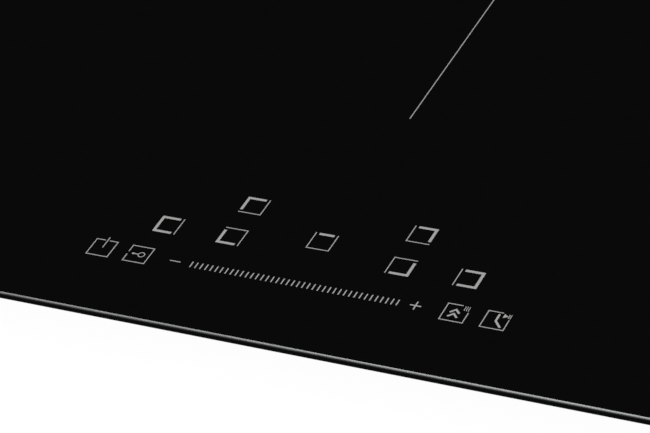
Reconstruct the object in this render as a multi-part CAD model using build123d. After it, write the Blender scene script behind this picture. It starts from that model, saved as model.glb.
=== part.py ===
"""Built-in electric induction cooktop with five cooking zones.

Units are millimetres.  X runs left to right, Y from the user towards the wall, Z up.
The origin is at the bottom centre: the pan's underside is at Z = 0.
"""
from build123d import *
import os

# ---------------------------------------------------------------- glass top
GLASS_WIDTH = 770.0
GLASS_DEPTH = 520.0
GLASS_THICK = 4.0
GLASS_CORNER_R = 8.0
GLASS_BEVEL = 0.85          # ground bevel round the upper edge
GLASS_ARRIS = 0.3           # broken lower edge

# ---------------------------------------------------------------- base pan
PAN_HEIGHT = 54.0           # pan underside to glass underside
PAN_EDGE_INSET = 25.0       # glass edge to pan wall, all round
SHEET = 0.8
FLANGE = 8.0
BEND_R = 3.0
SHELF_DEPTH = 18.0          # glass underside to the front shelf
SHELF_RUN = 13.0
SLOPE_RUN = 26.0            # from the shelf's edge back to the pan's floor
BEAD_PRESS = 1.2            # stiffening beads pressed into the side walls
BEAD_HEIGHT = 9.0
BEAD_DROP = 14.0            # glass underside to the beads' middle
BEAD_GAP = 26.0
BEAD_END = 15.0             # pan corner to the first bead's space
SIDE_BEADS = 3
VENT_WIDTH = 4.0
VENT_PITCH = 10.0
REAR_VENTS = 9              # slots behind each fan
REAR_VENT_Z = 26.0
REAR_VENT_HEIGHT = 24.0
FRONT_VENTS = 11            # slots in the front slope, each side
FRONT_VENT_LENGTH = 22.0
INLET_VENTS = 6             # slots in the floor below each fan
INLET_PITCH = 8.0

# ---------------------------------------------------------------- rim
BOND_THICK = 1.5
BOND_WIDTH = 6.0
SEAL_INSET = 1.7            # glass edge to the foam seal
SEAL_WIDTH = 6.0
SEAL_THICK = 2.0

# ---------------------------------------------------------------- coil packs
TRAY_THICK = 1.2
TRAY_GAP = 7.0              # between neighbouring trays
FERRITE_THICK = 4.5
FERRITE_WIDTH = 13.0
CARRIER_PLATE = 2.5
CARRIER_RIB = 3.2
CARRIER_RIM = 1.6
WINDING_THICK = 5.5
TRAY_CORNER = 6.0
TRAY_WALL_GAP = 2.0         # side trays to the pan's wall
COIL_MARGIN = 5.2           # side trays' edges to their coils
ZONE_FRONT = 59.0           # glass edges to the side coils, front and back
ZONE_BACK = 57.0
ZONE_GAP = 20.0             # between a side's front and rear coils
COIL_CORNER_R = 62.0
CENTRE_COIL_DIA = 240.0
CENTRE_BACK = 41.0          # pan's rear wall to the centre coil
COIL_EYE = 62.0
FERRITE_COUNT = 8
FERRITE_START = 36.0
FERRITE_END_GAP = 17.0      # ferrites' outer ends to the coil's edge
SENSOR_FLANGE_R = 9.0
SENSOR_FLANGE = 1.5
SENSOR_CLEAR = 0.5
SENSOR_HOLE = 6.0

# ---------------------------------------------------------------- pillars
PILLAR_R = 5.0              # hexagonal bar, across its corners
PILLAR_BORE = 1.6
PILLAR_BORE_DEPTH = 12.0
PILLAR_INSET = 14.0         # tray's side and front edges to its pillars
FLEX_PILLAR_BACK = 11.0     # pan's rear wall to the side trays' pillars
CENTRE_PILLAR_BACK = 30.0   # pan's rear wall to the centre tray's rear pillars
CONTROL_PILLAR_INSET = 38.0
SCREW_R = 1.5
SCREW_HEAD_R = 3.5
SCREW_HEAD = 2.0
SCREW_LENGTH = 9.0

# ---------------------------------------------------------------- touch control
KEY_PITCH = 13.65           # side of one key square
KEY_ROW_Y = 51.4            # glass front edge to the slider row
ZONE_ROW_Y = 80.2
CENTRE_KEY_Y = 89.1
REAR_KEY_Y = 109.1
OUTER_KEY_X = 120.9
INNER_KEY_X = 97.3
STEP_KEY_X = 73.9           # minus and plus
BRIDGE_KEY_X = 93.0
ZONE_KEY_X = 52.4
SLIDER_LENGTH = 126.8
CONTROL_WIDTH = 284.0
CONTROL_REAR = 121.0        # glass front edge to the tray's rear wall
CABLE_GAP = 18.8            # control tray to the side coil trays
CONTROL_WALL = 2.0
BOARD_THICK = 1.6
BOARD_DROP = 8.0            # glass underside to the control board's underside
BOARD_CLEAR = 0.4
PAD_SIZE = 10.0
DISPLAY_WIDTH = 9.0
DISPLAY_DEPTH = 4.0
DISPLAY_GAP = 0.5

# ---------------------------------------------------------------- power boards
POWER_MARGIN = 18.2         # side trays' edges to the board below
POWER_FRONT_INSET = 88.0    # glass front edge to the board
POWER_FAN_GAP = 18.0
POWER_STANDOFF = 5.2        # pan floor to the board
CARRIER_FLOOR = 1.6
STANDOFF_R = 3.5
HEATSINK_WIDTH = 46.0
HEATSINK_HEIGHT = 24.0
HEATSINK_LENGTH = 170.0
HEATSINK_BASE = 4.0
HEATSINK_FINS = 8
FIN_THICK = 1.5
HEATSINK_X = 18.0           # towards the fan's outlet, from the zone's centre
HEATSINK_END = 6.0
SWITCH_WIDTH = 16.0
SWITCH_HEIGHT = 20.0
SWITCH_THICK = 5.0
SWITCH_COUNT = 4
SWITCH_PITCH = 30.0
CAP_WIDTH = 32.0
CAP_DEPTH = 20.0
CAP_HEIGHT = 24.0
CAP_PITCH = 52.0
CAP_COUNT = 3
CAP_INSET = 30.0            # board's edge to the capacitors' middle
CAP_FRONT = 62.0

# ---------------------------------------------------------------- filter board
FILTER_WIDTH = 150.0
FILTER_DEPTH = 84.0
FILTER_X = -20.0
FILTER_BACK = 97.0          # pan's rear wall to the board's middle
CHOKE_R = 17.0
CHOKE_EYE_R = 8.0
CHOKE_SIDES = 16
CHOKE_HEIGHT = 16.0

# ---------------------------------------------------------------- fans
FAN_BACK = 65.0             # pan's rear wall to the fan's axis
FAN_HEIGHT = 32.0
FAN_WALL = 1.6
SCROLL_R = 44.0             # first quarter of the scroll
SCROLL_STEP = 4.0           # added to the radius each quarter turn
OUTLET_WIDTH = 42.0
OUTLET_REACH = 58.0
FAN_INLET_R = 29.0
WHEEL_R = 38.0
BLADE_DEPTH = 8.0
BLADE_THICK = 0.9
BLADE_COUNT = 18
BLADE_SWEEP = 9.0           # degrees that each blade leans forward
WHEEL_RUNNING_GAP = 1.4
RING_THICK = 1.5
HUB_WALL = 2.0
MOTOR_R = 14.0
MOTOR_LENGTH = 10.0
MOTOR_GAP = 1.2
SHAFT_R = 1.5
SHAFT_LENGTH = 7.0
RUNNING_FIT = 0.05
BOSS_R = 4.0

# ---------------------------------------------------------------- mains entry
TERMINAL_X = 84.0
FRAME_WIDTH = 92.0
FRAME_HEIGHT = 44.0
FRAME_THICK = 1.6
FRAME_FOOT = 2.0            # pan underside to the frame's lower edge
COVER_WIDTH = 84.0
COVER_TOP = 43.0
COVER_WALL = 1.6
HINGE_Z = 7.0
BARREL_R = 3.0
BARREL_LENGTH = 12.0
BARREL_X = 30.0
PIN_R = 1.5
PIN_LENGTH = 8.0
EAR_THICK = 3.0
HINGE_CLEAR = 0.4
COVER_CLEAR = 0.8
OPENING_SIDE = 8.0          # frame's outer edges to its opening
OPENING_TOP = 6.0
OPENING_FOOT = 2.0          # hinge barrels to the opening
TAB_WIDTH = 16.0            # finger tab on the cover's top edge
TAB_RISE = 2.5
BLOCK_WIDTH = 64.0
BLOCK_DEPTH = 22.0
BLOCK_HEIGHT = 20.0
BLOCK_POLES = 5
GLAND_LIP = 1.5
GLAND_SIDE = 18.0           # frame's edge to the gland's axis
GLAND_Z = 22.0
GLAND_BORE_R = 5.5
GLAND_BODY_R = 9.5
GLAND_CLEAR = 0.2
GLAND_NUT_R = 12.5
GLAND_NUT = 5.0
GLAND_INNER = 8.0           # how far the gland reaches inside the wall

# ---------------------------------------------------------------- worktop clamps
CLAMP_BACK = 85.0           # pan's front and rear walls to the pivots
CLAMP_WIDTH = 12.0
CLAMP_LENGTH = 42.0
CLAMP_CORNER = 3.6          # cut off so that the arm's end clears the pan as it turns
CLAMP_THICK = 2.0
CLAMP_CLEAR = 0.6
CLAMP_Z = 8.0
CLAMP_RISE = 10.0
CLAMP_FIRST = 13.0          # pivot to the start of the rising part
CLAMP_RAMP = 8.0
CLAMP_SCREW_R = 2.4
CLAMP_HEAD_R = 4.5
CLAMP_HEAD = 3.0
CLAMP_HEAD_Z = 3.5
LUG_Z = 14.0
LUG_THICK = 2.0
LUG_WIDTH = 14.0
LUG_HEIGHT = 14.0
LUG_HOLE_CLEAR = 0.1
CLAMP_SCREW_TOP = 24.0

# ---------------------------------------------------------------- ribbon cable
RIBBON_WIDTH = 22.0
RIBBON_THICK = 1.0
RIBBON_R = 4.0
RIBBON_FRONT = 97.0         # glass front edge to the ribbon's middle
PLUG_LENGTH = 10.0
PLUG_HEIGHT = 5.0

# ---------------------------------------------------------------- levels and places
GLASS_FRONT = -GLASS_DEPTH / 2
PAN_FRONT = GLASS_FRONT + PAN_EDGE_INSET
PAN_BACK = -PAN_FRONT
PAN_SIDE = GLASS_WIDTH / 2 - PAN_EDGE_INSET
PAN_WIDTH = 2 * PAN_SIDE
FLANGE_TOP = PAN_HEIGHT - BOND_THICK
SHELF_Z = PAN_HEIGHT - SHELF_DEPTH
TRAY_Z = SHELF_Z + SHEET
FERRITE_Z = TRAY_Z + TRAY_THICK
CARRIER_Z = FERRITE_Z + FERRITE_THICK
WINDING_Z = CARRIER_Z + CARRIER_PLATE
INSULATION_Z = WINDING_Z + WINDING_THICK
INSULATION_THICK = PAN_HEIGHT - INSULATION_Z
BOARD_Z = PAN_HEIGHT - BOARD_DROP
POWER_Z = SHEET + POWER_STANDOFF
TRAY_FRONT = PAN_FRONT + BEND_R + BOARD_CLEAR
TRAY_BACK = PAN_BACK - SHEET - BOARD_CLEAR
TRAY_OUTER = PAN_SIDE - SHEET - TRAY_WALL_GAP
TRAY_INNER = CONTROL_WIDTH / 2 + CABLE_GAP
FLEX_X = (TRAY_INNER + TRAY_OUTER) / 2
FLEX_COIL_WIDTH = TRAY_OUTER - TRAY_INNER - 2 * COIL_MARGIN
FLEX_COIL_DEPTH = (GLASS_DEPTH - ZONE_FRONT - ZONE_BACK - ZONE_GAP) / 2
FLEX_FRONT_Y = GLASS_FRONT + ZONE_FRONT + FLEX_COIL_DEPTH / 2
FLEX_REAR_Y = FLEX_FRONT_Y + FLEX_COIL_DEPTH + ZONE_GAP
CENTRE_Y = PAN_BACK - CENTRE_BACK - CENTRE_COIL_DIA / 2
CENTRE_TRAY_SIDE = TRAY_INNER - TRAY_GAP
CENTRE_TRAY_FRONT = GLASS_FRONT + CONTROL_REAR + TRAY_GAP
FLEX_PILLAR_X = (TRAY_OUTER - TRAY_INNER) / 2 - PILLAR_INSET
CENTRE_PILLAR_X = CENTRE_TRAY_SIDE - PILLAR_INSET
CONTROL_PILLAR_X = CONTROL_WIDTH / 2 - CONTROL_PILLAR_INSET
FAN_Y = PAN_BACK - FAN_BACK
FILTER_Y = PAN_BACK - FILTER_BACK
POWER_WIDTH = TRAY_OUTER - TRAY_INNER - 2 * POWER_MARGIN
POWER_FRONT = GLASS_FRONT + POWER_FRONT_INSET
POWER_REAR = FAN_Y - OUTLET_REACH - POWER_FAN_GAP
GLAND_X = TERMINAL_X + FRAME_WIDTH / 2 + GLAND_SIDE
CLAMP_Y = PAN_BACK - CLAMP_BACK
CONTROL_PILLAR_Y = GLASS_FRONT + CONTROL_REAR - 2 * CONTROL_WALL - SCREW_HEAD_R - BOARD_CLEAR
FAN_Z = SHEET
HINGE_Y = PAN_BACK + FRAME_THICK + BARREL_R + HINGE_CLEAR
CLAMP_X = PAN_SIDE + CLAMP_WIDTH / 2 + CLAMP_CLEAR

SIDES = {"left": -1, "right": 1}
FLEX_ZONES = {
    "front_left": (-FLEX_X, FLEX_FRONT_Y),
    "rear_left": (-FLEX_X, FLEX_REAR_Y),
    "front_right": (FLEX_X, FLEX_FRONT_Y),
    "rear_right": (FLEX_X, FLEX_REAR_Y),
}


def block(x0, x1, y0, y1, z0, z1):
    """A box given by its limits."""
    return Pos((x0 + x1) / 2, (y0 + y1) / 2, (z0 + z1) / 2) * Box(x1 - x0, y1 - y0, z1 - z0)


def raised(sketch, z0, thick):
    """A flat outline in plan, lifted to z0 and given a thickness."""
    return Pos(0, 0, z0) * extrude(sketch, thick)


def cut_corners(width, depth, corner):
    """A rectangle with its corners cut off."""
    return chamfer(Rectangle(width, depth).vertices(), corner)


def small_hole(radius):
    """Outline of a small round hole or pin, eight-sided to keep the part light."""
    return RegularPolygon(radius, 8)


def turned(*points):
    """A solid of revolution round Z from (radius, z) points."""
    outline = [(r, 0, z) for r, z in points]
    return revolve(make_face(Polyline(*outline, close=True)), Axis.Z)


# ================================================================ glass and rim
def glass_top():
    plate = raised(RectangleRounded(GLASS_WIDTH, GLASS_DEPTH, GLASS_CORNER_R), PAN_HEIGHT, GLASS_THICK)
    plate = chamfer(plate.faces().sort_by(Axis.Z)[-1].edges(), GLASS_BEVEL)
    return chamfer(plate.faces().sort_by(Axis.Z)[0].edges(), GLASS_ARRIS)


def rim_strip(width, depth, corner, strip, z0, thick):
    """A closed rectangular strip that runs round the rim; width and depth are outer sizes."""
    outer = RectangleRounded(width, depth, corner)
    inner = RectangleRounded(width - 2 * strip, depth - 2 * strip, max(corner - strip, strip / 4))
    return raised(outer - inner, z0, thick)


def edge_seal():
    return rim_strip(GLASS_WIDTH - 2 * SEAL_INSET, GLASS_DEPTH - 2 * SEAL_INSET, GLASS_CORNER_R,
                     SEAL_WIDTH, PAN_HEIGHT - SEAL_THICK, SEAL_THICK)


def glass_bond():
    inset = (FLANGE - BOND_WIDTH) / 2
    return rim_strip(PAN_WIDTH + 2 * FLANGE - 2 * inset, 2 * (PAN_BACK + FLANGE - inset), FLANGE,
                     BOND_WIDTH, FLANGE_TOP, BOND_THICK)


# ================================================================ base pan
def pan_section(inset):
    """Side view of the pan's body, as a face in the YZ plane; inset is the wall thickness."""
    points = [
        (PAN_FRONT, FLANGE_TOP),
        (PAN_FRONT, SHELF_Z),
        (PAN_FRONT + SHELF_RUN, SHELF_Z),
        (PAN_FRONT + SHELF_RUN + SLOPE_RUN, 0),
        (PAN_BACK, 0),
        (PAN_BACK, FLANGE_TOP),
    ]
    outline = make_face(Polyline(*points, close=True))
    folds = [v for v in outline.vertices() if v.Y < FLANGE_TOP - 1]
    outline = fillet(folds, BEND_R)
    if inset:
        outline = offset(outline, -inset, kind=Kind.INTERSECTION)
        top = outline.bounding_box().max.Y
        outline += Pos(0, top) * Rectangle(PAN_BACK - PAN_FRONT - 2 * inset, 4 * inset)
    return Plane.YZ * outline


def slot_row(count, pitch, shape):
    """Copies of a cutter in a row along X, centred."""
    start = -(count - 1) * pitch / 2
    return [Pos(start + i * pitch, 0, 0) * shape for i in range(count)]


def side_beads():
    """Outer recesses and inner ridges of the stiffening beads pressed in the side walls."""
    pitch = (PAN_BACK - PAN_FRONT - 2 * BEAD_END) / SIDE_BEADS
    length = pitch - BEAD_GAP
    z = PAN_HEIGHT - BEAD_DROP
    recesses, ridges = [], []
    for side in SIDES.values():
        for i in range(SIDE_BEADS):
            y = (i - (SIDE_BEADS - 1) / 2) * pitch
            bead = Plane.YZ * Pos(y, z) * cut_corners(length, BEAD_HEIGHT, BEAD_HEIGHT / 3)
            ridge = Plane.YZ * Pos(y, z) * cut_corners(
                length + 2 * SHEET, BEAD_HEIGHT + 2 * SHEET, BEAD_HEIGHT / 3)
            recesses.append(Pos(side * PAN_SIDE, 0, 0) * extrude(bead, BEAD_PRESS, both=True))
            inner = PAN_SIDE - SHEET - BEAD_PRESS
            ridges.append(Pos(side * (inner + PAN_SIDE) / 2, 0, 0)
                          * extrude(ridge, (PAN_SIDE - inner) / 2, both=True))
    return recesses, ridges


def pan_vents():
    """Cutters for the air slots: floor inlets, rear wall and front slope."""
    cutters = []
    rear_slot = Box(VENT_WIDTH, 8 * SHEET, REAR_VENT_HEIGHT)
    slope_angle = degrees_of(SHELF_Z, SLOPE_RUN)
    front_slot = Rot(slope_angle, 0, 0) * Box(VENT_WIDTH, FRONT_VENT_LENGTH, 8 * SHEET)
    slope_y = PAN_FRONT + SHELF_RUN + SLOPE_RUN / 2
    for side in SIDES.values():
        for slot in slot_row(REAR_VENTS, VENT_PITCH, rear_slot):
            cutters.append(Pos(side * FLEX_X, PAN_BACK, REAR_VENT_Z) * slot)
        for slot in slot_row(FRONT_VENTS, VENT_PITCH, front_slot):
            cutters.append(Pos(side * FLEX_X, slope_y, SHELF_Z / 2) * slot)
        for i in range(INLET_VENTS):
            x = (i - (INLET_VENTS - 1) / 2) * INLET_PITCH
            reach = 2 * (FAN_INLET_R ** 2 - x ** 2) ** 0.5
            if reach > 2 * VENT_WIDTH:
                cutters.append(Pos(side * FLEX_X + x, FAN_Y, 0) * Box(VENT_WIDTH, reach, 4 * SHEET))
    return cutters


def degrees_of(rise, run):
    """Angle below the horizontal of a slope that falls by rise over run, for a turn about X."""
    return -Vector(run, rise).get_angle(Vector(1, 0))


def terminal_opening(y0, y1):
    """Cutter for the opening in the rear wall and in the frame round it."""
    half = FRAME_WIDTH / 2 - OPENING_SIDE
    z0 = HINGE_Z + BARREL_R + OPENING_FOOT
    return block(-half, half, y0, y1, z0, FRAME_FOOT + FRAME_HEIGHT - OPENING_TOP)


def base_pan():
    body = extrude(pan_section(0), PAN_SIDE, both=True)
    cavity = extrude(pan_section(SHEET), PAN_SIDE - SHEET, both=True)
    flange = raised(RectangleRounded(PAN_WIDTH + 2 * FLANGE, 2 * (PAN_BACK + FLANGE), FLANGE),
                    FLANGE_TOP - SHEET, SHEET)
    recesses, ridges = side_beads()
    pan = body + flange - cavity
    pan = pan + ridges - recesses - pan_vents()
    pan -= Pos(TERMINAL_X, 0, 0) * terminal_opening(PAN_BACK - 4 * SHEET, PAN_BACK + SHEET)
    gland_hole = Plane.XZ * Pos(GLAND_X, GLAND_Z) * Circle(GLAND_BODY_R + GLAND_CLEAR)
    return pan - Pos(0, PAN_BACK, 0) * extrude(gland_hole, 4 * SHEET, both=True)


# ================================================================ pillars and screws
def pillar_places():
    """Plan positions of the pillars, with the thickness of what each screw holds down."""
    places = []
    for side in SIDES.values():
        for x in (-FLEX_PILLAR_X, FLEX_PILLAR_X):
            places.append((side * FLEX_X + x, PAN_BACK - FLEX_PILLAR_BACK, TRAY_THICK))
        for y in (CENTRE_TRAY_FRONT + PILLAR_INSET, PAN_BACK - CENTRE_PILLAR_BACK):
            places.append((side * CENTRE_PILLAR_X, y, TRAY_THICK))
        places.append((side * CONTROL_PILLAR_X, CONTROL_PILLAR_Y, CONTROL_WALL))
    return places


def hex_screw(radius, length, head_r, head):
    """Hexagon-head screw: its shank runs down from the origin, its head stands on it."""
    return raised(small_hole(radius), -length, length) + raised(RegularPolygon(head_r, 6), 0, head)


def tray_pillars():
    """Hexagonal spacers, each with a tapped bore from the top."""
    pillar = raised(RegularPolygon(PILLAR_R, 6), SHEET, TRAY_Z - SHEET)
    pillar -= raised(small_hole(PILLAR_BORE), TRAY_Z - PILLAR_BORE_DEPTH, PILLAR_BORE_DEPTH)
    return [Pos(x, y, 0) * pillar for x, y, _ in pillar_places()]


def tray_screws():
    screw = hex_screw(SCREW_R, SCREW_LENGTH, SCREW_HEAD_R, SCREW_HEAD)
    return [Pos(x, y, TRAY_Z + held) * screw for x, y, held in pillar_places()]


def screw_holes(places, z0, thick):
    return [Pos(x, y, 0) * raised(small_hole(PILLAR_BORE), z0 - thick, 3 * thick) for x, y in places]


# ================================================================ coil packs
def coil_tray(x0, x1, y0, y1, zones):
    """Aluminium sheet with a hole under each coil's eye and holes for its screws."""
    plan = cut_corners(x1 - x0, y1 - y0, TRAY_CORNER)
    tray = raised(Pos((x0 + x1) / 2, (y0 + y1) / 2) * plan, TRAY_Z, TRAY_THICK)
    eye = raised(RegularPolygon(FERRITE_START / 2, 2 * FERRITE_COUNT), TRAY_Z - TRAY_THICK, 3 * TRAY_THICK)
    tray -= [Pos(x, y, 0) * eye for x, y in zones]
    screws = [(x, y) for x, y, _ in pillar_places() if x0 < x < x1 and y0 < y < y1]
    return tray - screw_holes(screws, TRAY_Z, TRAY_THICK)


def winding_outline(zone):
    if zone == "centre":
        return Circle(CENTRE_COIL_DIA / 2)
    return RectangleRounded(FLEX_COIL_WIDTH, FLEX_COIL_DEPTH, COIL_CORNER_R)


def winding(zone):
    return raised(winding_outline(zone) - Circle(COIL_EYE / 2), WINDING_Z, WINDING_THICK)


def ferrite_end(zone):
    across = CENTRE_COIL_DIA if zone == "centre" else FLEX_COIL_WIDTH
    return across / 2 - FERRITE_END_GAP


def ferrite_set(zone):
    """Radial bars under a winding, lying on the tray."""
    end = ferrite_end(zone)
    bar = Pos((FERRITE_START + end) / 2, 0, FERRITE_Z + FERRITE_THICK / 2) * Box(
        end - FERRITE_START, FERRITE_WIDTH, FERRITE_THICK)
    return [Rot(0, 0, 360 / FERRITE_COUNT * i) * bar for i in range(FERRITE_COUNT)]


def coil_carrier(zone):
    """Moulded plate that holds the winding, with ribs between the ferrites."""
    dish = raised(offset(winding_outline(zone), CARRIER_RIM), CARRIER_Z, CARRIER_PLATE)
    turn = 360 / FERRITE_COUNT
    end = ferrite_end(zone)
    rib = Pos((FERRITE_START + end) / 2, 0, FERRITE_Z + FERRITE_THICK / 2) * Box(
        end - FERRITE_START, CARRIER_RIB, FERRITE_THICK)
    dish += [Rot(0, 0, turn * (i + 0.5)) * rib for i in range(FERRITE_COUNT)]
    return dish - raised(small_hole(SENSOR_HOLE), CARRIER_Z - CARRIER_PLATE, 3 * CARRIER_PLATE)


def zone_sensor():
    """Temperature probe on a stalk: a flange under the carrier and a head against the glass."""
    stalk = SENSOR_HOLE - SENSOR_CLEAR
    flange = raised(RegularPolygon(SENSOR_FLANGE_R, 8), CARRIER_Z - SENSOR_FLANGE, SENSOR_FLANGE)
    return flange + raised(small_hole(stalk), CARRIER_Z, PAN_HEIGHT - CARRIER_Z)


def insulation_sheet(x, y, outline, zones):
    sheet = raised(Pos(x, y) * outline, INSULATION_Z, INSULATION_THICK)
    hole = raised(small_hole(SENSOR_HOLE), INSULATION_Z, INSULATION_THICK)
    return sheet - [Pos(zx, zy, 0) * hole for zx, zy in zones]


# ================================================================ touch control
def key_places():
    """Plan positions of the touch fields under the printed keys."""
    places = [(0.0, CENTRE_KEY_Y)]
    for side in SIDES.values():
        places += [
            (side * OUTER_KEY_X, KEY_ROW_Y),
            (side * INNER_KEY_X, KEY_ROW_Y),
            (side * STEP_KEY_X, KEY_ROW_Y),
            (side * BRIDGE_KEY_X, ZONE_ROW_Y),
            (side * ZONE_KEY_X, ZONE_ROW_Y),
            (side * ZONE_KEY_X, REAR_KEY_Y),
        ]
    return [(x, GLASS_FRONT + y) for x, y in places]


def control_tray():
    """Open moulded box on the pan's front shelf; the board rests on its inner ledge."""
    half = CONTROL_WIDTH / 2
    y0 = TRAY_FRONT
    y1 = GLASS_FRONT + CONTROL_REAR
    tray = block(-half, half, y0, y1, TRAY_Z, PAN_HEIGHT)
    wall = CONTROL_WALL
    tray -= block(-half + wall, half - wall, y0 + wall, y1 - wall, BOARD_Z, PAN_HEIGHT + wall)
    ledge = 2 * wall
    tray -= block(-half + ledge, half - ledge, y0 + ledge, y1 - ledge, TRAY_Z + wall, PAN_HEIGHT)
    ribbon_y = GLASS_FRONT + RIBBON_FRONT
    reach = RIBBON_WIDTH / 2 + RIBBON_THICK
    tray -= block(-half - wall, -half + 2 * ledge, ribbon_y - reach, ribbon_y + reach,
                  BOARD_Z - PLUG_HEIGHT - RIBBON_THICK, BOARD_Z)
    screws = [(x, y) for x, y, held in pillar_places() if held == CONTROL_WALL]
    return tray - screw_holes(screws, TRAY_Z, wall)


def control_board():
    half = CONTROL_WIDTH / 2 - CONTROL_WALL - BOARD_CLEAR
    y0 = TRAY_FRONT + CONTROL_WALL + BOARD_CLEAR
    y1 = GLASS_FRONT + CONTROL_REAR - CONTROL_WALL - BOARD_CLEAR
    return block(-half, half, y0, y1, BOARD_Z, BOARD_Z + BOARD_THICK)


def touch_pads():
    """Conductive foam blocks between the board and the glass, and the slider's strip."""
    z0 = BOARD_Z + BOARD_THICK
    half = PAD_SIZE / 2
    pads = [block(x - half, x + half, y - half, y + half, z0, PAN_HEIGHT) for x, y in key_places()]
    row = GLASS_FRONT + KEY_ROW_Y
    strip = SLIDER_LENGTH / 2
    pads.append(block(-strip, strip, row - half / 2, row + half / 2, z0, PAN_HEIGHT))
    return pads


def display_modules():
    """Light bars beside the zone keys, behind the dark glass."""
    z0 = BOARD_Z + BOARD_THICK
    z1 = PAN_HEIGHT - DISPLAY_GAP
    bars = []
    for x, y in key_places():
        if y > GLASS_FRONT + (KEY_ROW_Y + ZONE_ROW_Y) / 2:
            near = y - KEY_PITCH / 2 - DISPLAY_DEPTH
            half = DISPLAY_WIDTH / 2
            bars.append(block(x - half, x + half, near, near + DISPLAY_DEPTH, z0, z1))
    return bars


# ================================================================ power electronics
def standoff_places():
    inset = 3 * STANDOFF_R / 2
    xs = (-POWER_WIDTH / 2 + inset, POWER_WIDTH / 2 - inset)
    ys = (POWER_FRONT + inset, (POWER_FRONT + POWER_REAR) / 2, POWER_REAR - inset)
    return [(x, y) for x in xs for y in ys]


def board_carrier():
    """Moulded floor plate with standoffs, local to its zone's centre line."""
    plate = block(-POWER_WIDTH / 2, POWER_WIDTH / 2, POWER_FRONT, POWER_REAR, SHEET, SHEET + CARRIER_FLOOR)
    rise = POWER_Z - SHEET
    posts = [Pos(x, y, SHEET + rise / 2) * Box(2 * STANDOFF_R, 2 * STANDOFF_R, rise)
             for x, y in standoff_places()]
    window = (POWER_REAR - POWER_FRONT) / 2 - 8 * STANDOFF_R
    middle = (POWER_FRONT + POWER_REAR) / 2
    plate += posts
    for sign in (-1, 1):
        y = middle + sign * (window / 2 + 2 * STANDOFF_R)
        plate -= Pos(0, y, SHEET) * Box(POWER_WIDTH - 8 * STANDOFF_R, window, 4 * CARRIER_FLOOR)
    return plate


def power_board():
    return block(-POWER_WIDTH / 2, POWER_WIDTH / 2, POWER_FRONT, POWER_REAR, POWER_Z, POWER_Z + BOARD_THICK)


def heatsink():
    """Extruded aluminium comb, its fins along Y in line with the fan's outlet."""
    half = HEATSINK_WIDTH / 2
    pitch = (HEATSINK_WIDTH - FIN_THICK) / (HEATSINK_FINS - 1)
    comb = Pos(0, HEATSINK_BASE / 2) * Rectangle(HEATSINK_WIDTH, HEATSINK_BASE)
    for i in range(HEATSINK_FINS):
        x = -half + FIN_THICK / 2 + i * pitch
        comb += Pos(x, HEATSINK_HEIGHT / 2) * Rectangle(FIN_THICK, HEATSINK_HEIGHT)
    middle = POWER_REAR - HEATSINK_LENGTH / 2 - HEATSINK_END
    bar = extrude(Plane.XZ * comb, HEATSINK_LENGTH / 2, both=True)
    return Pos(HEATSINK_X, middle, POWER_Z + BOARD_THICK) * bar


def power_switches():
    """Transistor packages that stand on the board against the heatsink's side."""
    x1 = HEATSINK_X - HEATSINK_WIDTH / 2
    z0 = POWER_Z + BOARD_THICK
    first = POWER_REAR - HEATSINK_LENGTH
    packs = []
    for i in range(SWITCH_COUNT):
        y = first + SWITCH_PITCH * (i + 0.5)
        packs.append(block(x1 - SWITCH_THICK, x1, y - SWITCH_WIDTH / 2, y + SWITCH_WIDTH / 2,
                           z0, z0 + SWITCH_HEIGHT))
    return packs


def box_capacitor(x, y):
    """Boxed film capacitor standing on a board."""
    z0 = POWER_Z + BOARD_THICK
    return Pos(x, y, z0 + CAP_HEIGHT / 2) * Box(CAP_WIDTH, CAP_DEPTH, CAP_HEIGHT)


def capacitors():
    x = CAP_INSET - POWER_WIDTH / 2
    return [box_capacitor(x, POWER_FRONT + CAP_FRONT + i * CAP_PITCH) for i in range(CAP_COUNT)]


def filter_board():
    """Mains filter board on four moulded feet."""
    half_x, half_y = FILTER_WIDTH / 2, FILTER_DEPTH / 2
    board = block(-half_x, half_x, -half_y, half_y, POWER_Z, POWER_Z + BOARD_THICK)
    rise = POWER_Z - SHEET
    for sx in (-1, 1):
        for sy in (-1, 1):
            foot = Box(2 * STANDOFF_R, 2 * STANDOFF_R, rise)
            x, y = sx * (half_x - 2 * STANDOFF_R), sy * (half_y - 2 * STANDOFF_R)
            board += Pos(x, y, SHEET + rise / 2) * foot
    return Pos(FILTER_X, FILTER_Y, 0) * board


def filter_choke():
    z0 = POWER_Z + BOARD_THICK
    plan = RegularPolygon(CHOKE_R, CHOKE_SIDES) - RegularPolygon(CHOKE_EYE_R, CHOKE_SIDES)
    ring = raised(plan, z0, CHOKE_HEIGHT)
    return Pos(FILTER_X - FILTER_WIDTH / 4, FILTER_Y, 0) * ring


def filter_capacitors():
    x = FILTER_X + FILTER_WIDTH / 5
    return [box_capacitor(x, FILTER_Y + sign * CAP_DEPTH) for sign in (-1, 1)]


# ================================================================ fans
def scroll_outline(inset=0.0, reach=OUTLET_REACH):
    """Plan outline of the fan's scroll: three growing quarter turns and a straight outlet."""
    half = SCROLL_STEP / 2
    r1, r2, r3 = (SCROLL_R + SCROLL_STEP * i - inset for i in range(3))
    first = CenterArc((-half, half), r1, 270, -90)
    second = CenterArc((half, half), r2, 180, -90)
    third = CenterArc((half, -half), r3, 90, -90)
    east = half + r3
    inner = east + inset - OUTLET_WIDTH + inset
    outlet = Polyline((east, -half), (east, -reach), (inner, -reach), (inner, half - r1), (-half, half - r1))
    return make_face([first, second, third, outlet])


def fan_housing():
    shell = raised(scroll_outline(), 0, FAN_HEIGHT - FAN_WALL)
    shell -= raised(scroll_outline(FAN_WALL, OUTLET_REACH + FAN_WALL), FAN_WALL, FAN_HEIGHT)
    return shell - Cylinder(FAN_INLET_R, 4 * FAN_WALL)


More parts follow.
